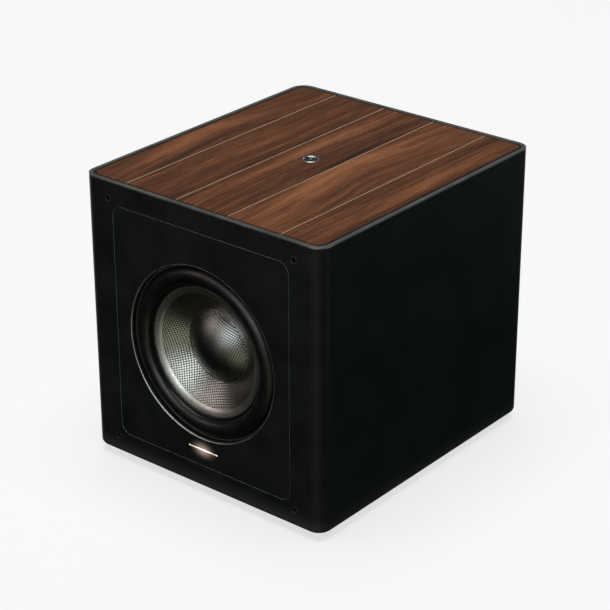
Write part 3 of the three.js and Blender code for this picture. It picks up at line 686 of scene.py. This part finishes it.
def make_edgings(seam_paint, lip_paint):
    """The fine bead laid in the seam round the front panel, and the bright lip of its opening."""
    bead = combined(facing(panel_outline(0.05), FRONT + 0.25, FRONT + 2.2),
                    [facing(panel_outline(0.55), FRONT - OVER, FRONT + 4)])
    add_piece("seam_bead", soften(bead, 0.2, lambda p: p.y < FRONT + 0.4, 3), seam_paint)
    # How far outside the opening, and how deep.
    lip = ((0.15, 3.0), (0.15, 1.15), (0.3, 0.75), (0.6, 0.42), (1.0, 0.22), (1.5, 0.06),
           (1.9, 0.2), (1.9, 3.0))
    lip = turned([(OPENING + out, deep) for out, deep in lip], DRIVER, segments=256)
    add_piece("opening_lip", lip, lip_paint, smooth_angle=60)


def frame_ring(outer, inner, low, high):
    """A rounded rectangular ring between two insets from the cabinet's outline."""
    hole = upright(footprint(inner, 20), low - OVER, high + OVER)
    return combined(upright(footprint(outer, 20), low, high), [hole])


def make_trim(paint, shadow_gasket_paint):
    """The thin metal frame round the top, and a black gasket ring inside it that paints the
    shaded gap between the frame and the wood.
    """
    low = TOP - TRIM_THICK
    visible = TRIM_WIDTH - SHADOW_GASKET_WIDTH
    # Painted shade: a black ring set inside the frame, where the gap to the wood lies in shade.
    shadow_gasket = frame_ring(visible, TRIM_WIDTH, low, TOP - 0.45)
    add_piece("trim_shadow_gasket", shadow_gasket, shadow_gasket_paint)
    ring = frame_ring(0, visible, low, TOP)
    at_rim = lambda p: abs(p.x) > WIDTH / 2 - 6 or abs(p.y) > REAR - 6
    ring = soften(ring, 0.5, lambda p: p.z > TOP - 0.1 and at_rim(p), 4)
    ring = soften(ring, 0.2, segments=2, angle=60)
    add_piece("trim_frame", ring, paint, "top_trim_frame")


def make_planks(paints, inlay):
    """Five planks with lightly eased edges, and the strips let in between them."""
    inset, low, beyond = TRIM_WIDTH + 1, TOP - PLANK_THICK, 200
    edge = INLAY_HALF + GAP
    lefts = [-WIDTH / 2] + [x + edge for x in INLAY_X]
    rights = [x - edge for x in INLAY_X] + [WIDTH / 2]
    for i, (left, right) in enumerate(zip(lefts, rights)):
        tools = [box_mesh((-beyond, -beyond, low - 2), (left, beyond, TOP + 2)),
                 box_mesh((right, -beyond, low - 2), (beyond, beyond, TOP + 2))]
        if left < 0 < right:
            tools.append(upright(circle(BADGE_RADIUS + GAP, steps=96), low - OVER, TOP + OVER))
        plank = combined(upright(footprint(inset), low, TOP), tools)
        plank = soften(plank, 0.3, lambda p: p.z > TOP - 0.1, 3)
        add_piece(f"walnut_plank_{i + 1}", plank, paints[i], f"top_plank_{i + 1}")
    reach = REAR - inset
    for i, x in enumerate(INLAY_X):
        strip = box_mesh((x - INLAY_HALF, -reach, low), (x + INLAY_HALF, reach, TOP))
        strip = soften(strip, 0.15, segments=2)
        add_piece(f"inlay_{i + 1}", strip, inlay, f"inlay_strip_{i + 1}")


def make_badge(chrome, disc):
    """A plain bright ring round a dished, concentrically turned disc."""
    low = TOP - PLANK_THICK
    ring = rounded([(BADGE_BORE, low), (BADGE_RADIUS, low), (BADGE_RADIUS, TOP),
                    (BADGE_BORE, TOP)], {2: 0.9, 3: 0.9}, 6)
    add_piece("badge_rim", turned(ring, (0, 0, 0), "z", 128), chrome,
              "badge_ring")
    # Radius, and how far below the top.
    face = ((7.3, 1.1), (6.2, 1.3), (5.8, 0.85), (5.4, 0.9), (5.0, 1.35), (2.5, 1.5),
            (2.1, 0.85), (1.7, 0.9), (1.2, 1.45), (0, 1.5))
    profile = [(0, low), (7.3, low), *((r, TOP - down) for r, down in face)]
    add_piece("badge_face", turned(profile, (0, 0, 0), "z", 128), disc,
              "badge_disc", smooth_angle=50)


def make_sockets(paint):
    cup = rounded([(0, 12), (4.6, 12), (4.6, 0), (3.1, 0), (2.7, 1.2), (2.7, 10), (0, 10)],
                  {2: 0.5, 3: 0.5, 4: 0.4})
    for i, (x, z) in enumerate(SOCKETS):
        centre = (x * MM, (FRONT + 0.15) * MM, z * MM)
        add_piece(f"grille_cup_{i + 1}", turned(cup, centre, segments=64), paint,
                  f"grille_socket_{i + 1}")


def make_feet(paint, screw_paint):
    foot = rounded([(3.5, 4), (8, 4), (8, 0), (15, 0), (17.6, 2.6), (18, 7.7), (3.5, 7.7)],
                   {2: 0.5, 3: 1.0, 4: 1.2, 5: 0.6})
    head = rounded([(0, 3.6), (1.6, 3.6), (1.6, 2.6), (3.2, 1.4), (3.6, 3.9), (0, 3.9)],
                   {3: 0.8})
    for i, (sx, sy) in enumerate(((-1, -1), (1, -1), (-1, 1), (1, 1))):
        centre = (sx * FOOT_X * MM, sy * FOOT_Y * MM, 0)
        add_piece(f"rubber_foot_{i + 1}", turned(foot, centre, "z", 96), paint,
                  f"foot_{i + 1}")
        add_piece(f"foot_screw_{i + 1}", turned(head, centre, "z", 32), screw_paint)


def make_light_bar(paint):
    lens = facing(outline(2 * LIGHT_HALF, LIGHT_TALL, 0.3, 0, LIGHT_Z, 3), FRONT + 0.2,
                  FRONT + 8.9)
    lens = soften(lens, 0.2, lambda p: p.y < FRONT + 0.4, 2)
    add_piece("light_lens", lens, paint, "light_bar_lens")


# ---- Driver: profiles are (radius, depth behind the front) -----------------------------------

ROLL_MIDDLE, ROLL_HALF, ROLL_HEIGHT, ROLL_FOOT = 87.5, 10, 7.6, 9.3
RUBBER_THICK = 1.2
CONE_LINE = [(74.5, 8.2), (70, 9.7), (66, 11.8), (58, 16.4), (50, 22), (41.4, 28.8),
             (31, 38.6), (20, 50.5)]
DOME_RIM, DOME_DEEP, DOME_TALL, DOME_THICK = 39.2, 27.6, 15.0, 0.9
SPIDER_BORE, SPIDER_WAVED, SPIDER_RIM, SPIDER_DEEP = 21.4, 50.5, 56.5, 55
SPIDER_WAVES, SPIDER_HIGH, SPIDER_THICK = 4, 1.5, 0.7


def curve_through(points, per_span=6):
    """A smooth line through points (Catmull-Rom)."""
    extended = [points[0], *points, points[-1]]
    out = []
    for i in range(1, len(extended) - 2):
        a, b, c, d = (np.array(q, float) for q in extended[i - 1:i + 3])
        for k in range(per_span):
            t = k / per_span
            out.append(tuple(0.5 * (2 * b + (c - a) * t + (2 * a - 5 * b + 4 * c - d) * t * t
                                    + (3 * b - a - 3 * c + d) * t ** 3)))
    return [*out, tuple(points[-1])]


def radial_blend(piece):
    """Bakes the piece's transform into its mesh and reads its vertex positions."""
    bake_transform(piece)
    co = np.zeros(len(piece.data.vertices) * 3, np.float32)
    piece.data.vertices.foreach_get("co", co)
    co = co.reshape(-1, 3)


def make_roll(paint, ring_paint):
    """The rubber roll and the ring round it."""
    foot, steps = ROLL_FOOT - RUBBER_THICK, 28
    arc = lambda half, low, tall: [(ROLL_MIDDLE + half * math.cos(math.pi * i / steps),
                                    low - tall * math.sin(math.pi * i / steps))
                                   for i in range(steps + 1)]
    profile = [(99.9, foot), *arc(ROLL_HALF, foot, ROLL_HEIGHT), (76.4, foot),
               (75.6, foot + 0.15), (75.1, foot + 0.45), (74.85, ROLL_FOOT),
               *reversed(arc(ROLL_HALF - RUBBER_THICK, ROLL_FOOT, ROLL_HEIGHT - 0.2)),
               (99.9, ROLL_FOOT)]
    roll = add_piece("roll_surround", turned(profile, DRIVER, segments=256), paint,
                     "surround", None, 60)
    radial_blend(roll)

    back = foot - GAP
    ring = rounded([(98.2, back), (98.2, back - 1.8), (100.3, back - 1.8), (100.3, back)],
                   {1: 0.7, 2: 0.4})
    add_piece("surround_trim", turned(ring, DRIVER, segments=256), ring_paint,
              "surround_trim_ring")


def make_cone(paints):
    """The lacquered rim, the woven cone and dome, and the glue lines where they meet."""
    def add_moving(name, profile, paint, node=None, smooth_angle=60, segments=256):
        add_piece(name, turned(profile, DRIVER, segments=segments), paints[paint], node,
                  "cone_assembly", smooth_angle)

    line = curve_through(CONE_LINE)
    lip_end = line.index(CONE_LINE[2])
    edge = [(74.45, 9.5), (74.5, 8.35), *line[1:lip_end + 1], (66, 13.1), (70, 11.0)]
    add_moving("cone_rim", edge, "edge_ring", "cone_edge_ring", 50)

    front = line[lip_end + 1:]
    back = [(r + 0.45, d + 1.1) for r, d in front]
    add_moving("woven_cone", [(65.7, 12.0), *front, *reversed(back), (65.7, 13.1)], "cone",
               "cone", 50)

    ball = (DOME_RIM * DOME_RIM + DOME_TALL * DOME_TALL) / (2 * DOME_TALL)
    spread, steps = math.asin(DOME_RIM / ball), 40
    dome = lambda radius: [(radius * math.sin(spread * i / steps),
                            DOME_DEEP - DOME_TALL + ball - radius * math.cos(spread * i / steps))
                           for i in range(steps + 1)]
    flange = [(39.45, 27.9), (39.8, 28.15), (40.3, 28.2), (40.9, 28.2), (40.9, 28.6)]
    add_moving("woven_dome", [*dome(ball), *flange, *reversed(dome(ball - DOME_THICK))],
               "dome", "dust_cap")
    add_moving("roll_bead", circle(0.4, 75.4, 7.85, 12), "glue", None, 180)
    add_moving("dome_bead", circle(0.45, 41.35, 28.3, 12, 0.6), "bead", None, 180,
               192)


def make_spider(paint):
    """The cloth that centres the coil."""
    steps = 96
    waves = [(SPIDER_BORE + (SPIDER_WAVED - SPIDER_BORE) * i / steps,
              SPIDER_DEEP + SPIDER_HIGH * math.cos(math.tau * SPIDER_WAVES * i / steps))
             for i in range(steps + 1)] + [(SPIDER_RIM, SPIDER_DEEP + SPIDER_HIGH)]
    profile = [*waves, *((r, d + SPIDER_THICK) for r, d in reversed(waves))]
    spider = add_piece("cloth_spider", turned(profile, DRIVER, segments=192), paint,
                       "spider", None, 60)
    radial_blend(spider)


# ---- Amplifier plate -----------------------------------------------------------------------


def repaint(name, paint):
    node = NODES[name]
    node.data.materials.clear()
    node.data.materials.append(paint.material)
    for polygon in node.data.polygons:
        polygon.material_index = 0
    return node


def ease_node(name, paint, width):
    """Keeps a CAD piece and rounds its edges, with a finish of its own."""
    node = repaint(name, paint)
    for polygon in node.data.polygons:
        polygon.use_smooth = True
    node.modifiers.new("weld", "WELD").merge_threshold = 1e-5
    bevel = node.modifiers.new("round", "BEVEL")
    bevel.width, bevel.segments = width * MM, 3
    bevel.limit_method, bevel.angle_limit = "ANGLE", math.radians(30)
    bevel.harden_normals = True


def screws(prefix, places, y, radius, paint):
    """Domed cross-head screws, seated on a surface that faces the rear."""
    head = [(0, 0), (radius, 0), (radius, 0.5)]
    head += [(radius * math.cos(t), 0.5 + 1.3 * math.sin(t))
             for t in (k * math.pi / 16 for k in range(1, 8))] + [(0, 1.8)]
    arm = [(u * radius * 0.62, v * radius * 0.13)
           for u, v in ((-1, -1), (1, -1), (1, 1), (-1, 1))]
    for i, (x, z) in enumerate(places):
        arms = [facing(swung(x, z, 0.4 + 0.9 * i + quarter, arm), y + 0.9, y + 3)
                for quarter in (0, math.pi / 2)]
        domed = turned(head, (x * MM, y * MM, z * MM), segments=48)
        add_piece(f"{prefix}_{i + 1}", combined(domed, arms), paint)


def make_dial(kind, x, paint, mark):
    """A fluted knob with a pointer."""
    near, reach = AMP_FACE + 0.6, DIAL_TOP - 0.8
    profile = rounded([(0, near - 14), (3, near - 14), (3, near), (9, near), (9, near + 3),
                       (7.6, near + 4.2), (6.6, reach), (0, reach - 0.4)],
                      {3: 0.4, 4: 0.5, 5: 0.6, 6: 0.8})
    knob = turned(profile, (x * MM, 0, DIAL_Z * MM), segments=96)
    flutes, flute_radius, around = 18, 0.62, 8.25
    grooves = []
    for k in range(flutes):
        turn = math.tau * (k + 0.5) / flutes
        grooves.append(bored(flute_radius, near + 3.4, reach + 2, x + around * math.cos(turn),
                             DIAL_Z + around * math.sin(turn), 10))
    add_piece(f"{kind}_dial", combined(knob, grooves), paint, f"{kind}_knob",
              f"{kind}_control")
    line = facing(outline(1.0, 5.6, 0.45, x, DIAL_Z + 4.2, 4), reach - 0.6, DIAL_TOP)
    add_piece(f"{kind}_dial_mark", soften(line, 0.12, segments=2), mark,
              body=f"{kind}_control")


def make_ticks(kind, x, mark):
    """Printed ticks round a dial. The first, middle and last are longer and wider."""
    for k in range(11):
        half, inner, outer = (0.55, 11.2, 13.4) if k in (0, 5, 10) else (0.35, 11.2, 12.6)
        corners = swung(x, DIAL_Z, math.radians(240 - 30 * k), (
            (inner, -half), (outer, -half), (outer, half), (inner, half)))
        tick = facing(corners, AMP_FACE - 0.2, AMP_FACE + 0.12)
        add_piece(f"{kind}_tick_{k + 1}", tick, mark)


def make_jack(number, x, z, paint, core):
    """A gilt phono socket with its nut and block, and the plastic sleeve in its mouth."""
    inner = AMP_FACE - AMP_PLATE - GAP
    centre = (x * MM, 0, z * MM)
    collar = rounded([(0, inner - 1), (4.2, inner - 1), (4.2, AMP_FACE + 9.5),
                      (2.9, AMP_FACE + 9.5), (2.9, AMP_FACE + 0.5), (0, AMP_FACE + 0.5)],
                     {2: 0.3, 3: 0.3}, 3)
    block = box_mesh((x - 6, inner - 13, z - 7), (x + 6, inner, z + 7))
    nut = facing(circle(7, x, z, 6), AMP_FACE + GAP, AMP_FACE + 2)
    jack = combined(turned(collar, centre, segments=64), [block, nut], "UNION")
    add_piece(f"phono_socket_{number}", soften(jack, 0.25, segments=2, angle=50), paint,
              f"line_input_{number}")
    sleeve = rounded([(1.2, AMP_FACE + 0.6), (2.7, AMP_FACE + 0.6), (2.7, AMP_FACE + 9.1),
                      (1.2, AMP_FACE + 9.1)], {2: 0.3, 3: 0.3}, 3)
    add_piece(f"phono_core_{number}", turned(sleeve, centre, segments=48), core)


def make_amplifier(paints):
    front, back = AMP_FACE - 5, AMP_FACE + OVER
    holes = [bored(3.3, front, back, x, DIAL_Z) for _, x in DIALS]
    holes += [bored(4.6, front, back, x, z) for x, z in JACKS]
    for wide, tall, centre in ((12, 7, SLIDER), (13.8, 19.8, ROCKER), (29, 51, INLET)):
        holes.append(facing(outline(wide, tall, 0.4, *centre, 2), front, back))
    plate = facing(outline(AMP_W - 2 * GAP, AMP_H - 2 * GAP, AMP_R - GAP, 0, AMP_Z),
                   AMP_FACE - AMP_PLATE, AMP_FACE)
    plate = soften(combined(plate, holes), 0.6, lambda p: p.y > AMP_FACE - 0.1, 3)
    add_piece("controls_plate", plate, paints["plate"], "amp_plate")
    rim_x, rim_z = AMP_W / 2 - 7, AMP_H / 2 - 7
    places = [(sx * rim_x, AMP_Z + k * rim_z) for sx in (-1, 1) for k in (-1, -0.34, 0.34, 1)]
    places += [(0, AMP_Z - rim_z), (0, AMP_Z + rim_z)]
    screws("plate_screw", places, AMP_FACE, 3.1, paints["screw"])
    screws("inlet_screw", [(INLET[0] + dx, INLET[1]) for dx in (-15, 15)], AMP_FACE + 2.8, 1.9,
           paints["screw"])

    for kind, x in DIALS:
        make_dial(kind, x, paints["plastic"], paints["mark"])
    for kind, x in DIALS:
        make_ticks(kind, x, paints["mark"])
    for i, (x, z) in enumerate(JACKS):
        make_jack(i + 1, x, z, paints["jack"], paints[("core_red", "core_white")[i]])
    for name, paint, width in (("amp_heatsink", "plate", 0.3), ("rocker_housing", "plastic", 0.4),
                               ("power_rocker", "gloss", 0.5), ("mains_inlet", "plastic", 0.5),
                               ("fuse_drawer", "plastic", 0.4), ("phase_switch", "plastic", 0.3)):
        ease_node(name, paints[paint], width)

    x, z = ROCKER
    stroke = facing(outline(0.7, 3.0, 0.3, x, z + 4.2, 3), AMP_FACE + 2.4, AMP_FACE + 3.2)
    ring = turned([(1.1, 0), (1.7, 0), (1.7, 0.6), (1.1, 0.6)],
                  (x * MM, (AMP_FACE + 3.0) * MM, (z - 4.4) * MM), segments=32)
    for name, shape in (("rocker_on", stroke), ("rocker_off", ring)):
        add_piece(name, shape, paints["mark"], body="power_rocker")


# ---- Camera, lights and floor ------------------------------------------------------------

AZIMUTH, ELEVATION, ROLL = (math.radians(angle) for angle in (39.447, 25.444, -0.145))
CAMERA_AT = Vector((1.31566, -1.60937, 1.15068))
FOCAL_LENGTH, SENSOR_WIDTH = 120.71, 36
VIEW_LIMIT, FLOOR_REACH = 100, 60.0
FRONT_CENTRE = (0, -0.185, 0.17)
FLOOR_GREY, FLOOR_GLOW, BACKDROP = (0.39, 0.40, 0.415), 0.71, (0.72, 0.72, 0.72)


def make_camera():
    """The photograph's view: a long lens, down and from the right."""
    back = Vector((math.sin(AZIMUTH) * math.cos(ELEVATION),
                   -math.cos(AZIMUTH) * math.cos(ELEVATION), math.sin(ELEVATION)))
    level = Vector((math.cos(AZIMUTH), math.sin(AZIMUTH), 0))
    rise = back.cross(level)
    right = math.cos(ROLL) * level + math.sin(ROLL) * rise
    up = -math.sin(ROLL) * level + math.cos(ROLL) * rise
    data = bpy.data.cameras.new("camera")
    data.lens, data.sensor_width, data.clip_end = FOCAL_LENGTH, SENSOR_WIDTH, VIEW_LIMIT
    camera = link(bpy.data.objects.new("camera", data))
    turn = Matrix((right, up, back)).transposed().to_4x4()
    camera.matrix_world = Matrix.Translation(CAMERA_AT) @ turn
    bpy.context.scene.camera = camera


def softbox(name, direction, distance, width, height, radiance, colour, target=FRONT_CENTRE):
    """A rectangular studio light that looks equally bright wherever it is seen reflected."""
    data = bpy.data.lights.new(name, "AREA")
    data.shape = "RECTANGLE"
    data.size, data.size_y = width, height
    data.energy = radiance * math.pi * width * height
    data.color = colour
    lamp = link(bpy.data.objects.new(name, data))
    aim = -Vector(direction).normalized()
    turn = aim.to_track_quat("-Z", "Y").to_matrix().to_4x4()
    lamp.matrix_world = Matrix.Translation(Vector(target) - distance * aim) @ turn
    lamp.visible_camera = False


def make_surroundings(glows):
    """The dim room round the studio lights. Glows are (direction, outer angle, colour). The
    camera itself sees a pale backdrop past the floor."""
    world = bpy.data.worlds.new("studio")
    bpy.context.scene.world = world
    world.use_nodes = True
    room = Graph(world.node_tree)
    background = room.tree.nodes["Background"]
    background.inputs["Strength"].default_value = 1.0
    toward = room.node("ShaderNodeTexCoord").outputs["Generated"]
    total = None
    for direction, spread, colour in glows:
        near = room.vector("DOT_PRODUCT", toward, Vector(direction).normalized())
        fade = room.remap(near, math.cos(math.radians(spread)), 1.0, ease="SMOOTHERSTEP")
        glow = room.vector("SCALE", colour, fade)
        total = glow if total is None else room.vector("ADD", total, glow)
    seen = room.node("ShaderNodeLightPath").outputs["Is Camera Ray"]
    room.join(room.mix(seen, total, BACKDROP), background.inputs["Color"])


def make_lights():
    softbox("key", (0.14, -0.94, 0.29), 2.0, 1.45, 1.1, 2.7, (0.94, 1.0, 0.99))
    softbox("front", (-0.04, -0.99, -0.08), 2.0, 0.9, 0.5, 0.7, (1.0, 0.98, 0.93))
    softbox("warm", (-0.57, -0.71, 0.38), 2.0, 0.9, 0.9, 1.7, (1.0, 0.84, 0.77))
    softbox("rear", (0.10, 0.97, 0.05), 2.0, 1.2, 0.8, 4.0, (0.97, 1.0, 1.0), (0, 0.185, 0.17))
    softbox("rim", (-0.86, 0.30, -0.43), 1.2, 0.62, 0.9, 0.5, (0.94, 1.0, 0.98),
            (-0.15, -0.18, 0.17))
    for name, side in (("right", 1), ("left", -1)):
        softbox(name, (side * 0.95, 0.14, -0.12), 2.0, 0.85, 0.9, 1.2, (0.97, 1.0, 1.0),
                (side * 0.165, 0, 0.17))
    softbox("top", (0.0, -0.05, 1.0), 8.0, 6.2, 6.2, 3.9, (1.0, 0.96, 0.92), (0, 0, 0.338))
    make_surroundings([
        ((0.0, 0.0, 1.0), 180, (0.012, 0.014, 0.013)),
        ((0.46, -0.78, -0.43), 25, (0.60, 0.61, 0.42)),
        ((-0.574, 0.697, 0.43), 60, (0.105, 0.11, 0.105)),
        ((0.574, 0.697, -0.30), 60, (0.006, 0.026, 0.021)),
    ])


def make_stage():
    """A wide pale floor as bright as the backdrop. Of the lights only the one above the object
    falls on it, since the others would end there in lines."""
    corners = [(x * FLOOR_REACH, y * FLOOR_REACH, 0)
               for x, y in ((-1, -1), (1, -1), (1, 1), (-1, 1))]
    floor = link(bpy.data.objects.new("floor", from_faces(corners, [[0, 1, 2, 3]])))
    floor.data.materials.append(Paint(
        "pale_floor", roughness=0.9, specular_ior_level=0.0, base_color=FLOOR_GREY,
        emission_color=(1, 1, 1), emission_strength=FLOOR_GLOW).material)
    floor.visible_glossy = floor.visible_diffuse = floor.visible_shadow = False
    spared = bpy.data.collections.new("spared")
    spared.objects.link(floor)
    spared.collection_objects[0].light_linking.link_state = "EXCLUDE"
    for lamp in bpy.context.scene.objects:
        if lamp.type == "LIGHT" and lamp.name != "top":
            lamp.light_linking.receiver_collection = spared
    bpy.context.scene.view_settings.view_transform = "Standard"


# ---- Everything together -------------------------------------------------------------------


def paint_inside():
    """Finishes for the CAD pieces inside the cabinet, which keep their shapes."""
    for paint, names in (
            (board_fibre("fibreboard"),
             ("bottom_panel", "top_board", "inner_baffle", "window_brace", "amp_frame")),
            (foam("acoustic_foam"), ("damping_pad_left", "damping_pad_right")),
            (circuit("circuit_board"), ("light_bar_board", "amp_board", "control_board")),
            (painted("basket_coat", PLASTIC_BLACK, 0.5), ("driver_basket",)),
            (metal("zinc_plate", (0.46, 0.47, 0.48), 0.34),
             ("voice_coil_former", "top_plate", "pole_piece")),
            (windings("copper_wire"), ("voice_coil", "transformer")),
            (cast("ferrite_grain", (0.02, 0.02, 0.023), 0.6), ("magnet",)),
            (moulded("inner_plastic"), ("terminal_strip", "reservoir_capacitor")),
            (rubber("lead_jacket"), ("driver_lead",))):
        for name in names:
            repaint(name, paint)


def main():
    make_camera()
    make_lights()
    make_stage()
    make_cabinet(leather("leather_wrap"),
                 leather("leather_panel", (LIGHT_Z * MM, 0.017, (1.0, 0.72, 0.60))))
    make_edgings(metal("seam_metal", (0.38, 0.45, 0.43), 0.45, (200, 200, 200)),
                 metal("lip_metal", (0.50, 0.52, 0.51), 0.38, (60, 3000, 60)))
    make_trim(metal("satin_trim", (0.36, 0.375, 0.36), 0.42, (3000, 30, 3000)),
              rubber("shadow_gasket_rubber", (0.003, 0.003, 0.003), 0.6))
    make_planks([
        walnut("walnut_1", 1, -0.02, [(-0.148, 0.022, 0.22)], [(-0.122, 0.008, 0.10)], -2.4,
               -0.02),
        walnut("walnut_2", 2, -0.02, [(-0.080, 0.016, 0.06)], [(-0.043, 0.014, 0.15)], -0.2),
        walnut("walnut_3", 3, 0.01, [(-0.020, 0.014, 0.22)], [(0.031, 0.009, 0.18)], -0.3, 0.05),
        walnut("walnut_4", 4, 0.05, [(0.044, 0.020, 0.27)], [(0.078, 0.008, 0.12)], -3.0, -0.01),
        walnut("walnut_5", 5, 0.0, [(0.140, 0.012, 0.14)], [(0.122, 0.006, 0.08)], -0.4),
    ], cast("inlay_wood", (0.50, 0.36, 0.25), 0.45))
    even = (60, 60, 60)
    make_badge(metal("badge_chrome", (0.82, 0.83, 0.84), 0.24, even, 0.000004, 0.95),
               metal("badge_disc", (0.22, 0.22, 0.23), 0.22, even, 0.000004))
    make_sockets(moulded("socket_plastic"))
    steel = metal("screw_steel", (0.30, 0.30, 0.31), 0.32)
    make_feet(rubber("foot_rubber", (0.010, 0.010, 0.010), 0.55), steel)
    make_light_bar(lit_bar("light_diffuser", LIGHT_HALF * MM))
    make_roll(rubber("roll_rubber"), moulded("trim_plastic", (0.02, 0.02, 0.02), 0.32))
    make_cone({
        "edge_ring": cast("satin_lacquer", (0.47, 0.47, 0.445), 0.35, 1.0, 0.000004),
        # Each weave's darker colour is the painted shade in its thread gaps.
        "cone": weave("cone_weave", 0.00245, math.radians(18), (0.50, 0.50, 0.48),
                      (0.08, 0.078, 0.073), 0.25, 0.00016),
        "dome": weave("dome_weave", 0.0023, math.radians(-22), (0.37, 0.37, 0.365),
                      (0.03, 0.03, 0.028), 0.23, 0.00015),
        "bead": cast("bead_lacquer", (0.45, 0.45, 0.43), 0.3, 1.0, 0.00001),
        "glue": cast("glue_line", (0.10, 0.10, 0.10), 0.3, 1.0, 0.00001),
    })
    make_spider(cloth("spider_weave"))
    make_amplifier({
        "plate": painted("plate_coat", (0.024, 0.024, 0.025), 0.45),
        "screw": steel,
        "plastic": moulded("control_plastic"),
        "gloss": moulded("gloss_plastic", roughness=0.25),
        "mark": cast("white_print", (0.70, 0.70, 0.68), 0.5),
        "jack": metal("gilt", (0.72, 0.50, 0.20), 0.25),
        "core_red": moulded("red_core", (0.30, 0.01, 0.01), 0.4),
        "core_white": moulded("white_core", (0.60, 0.60, 0.58), 0.4),
    })
    paint_inside()


main()
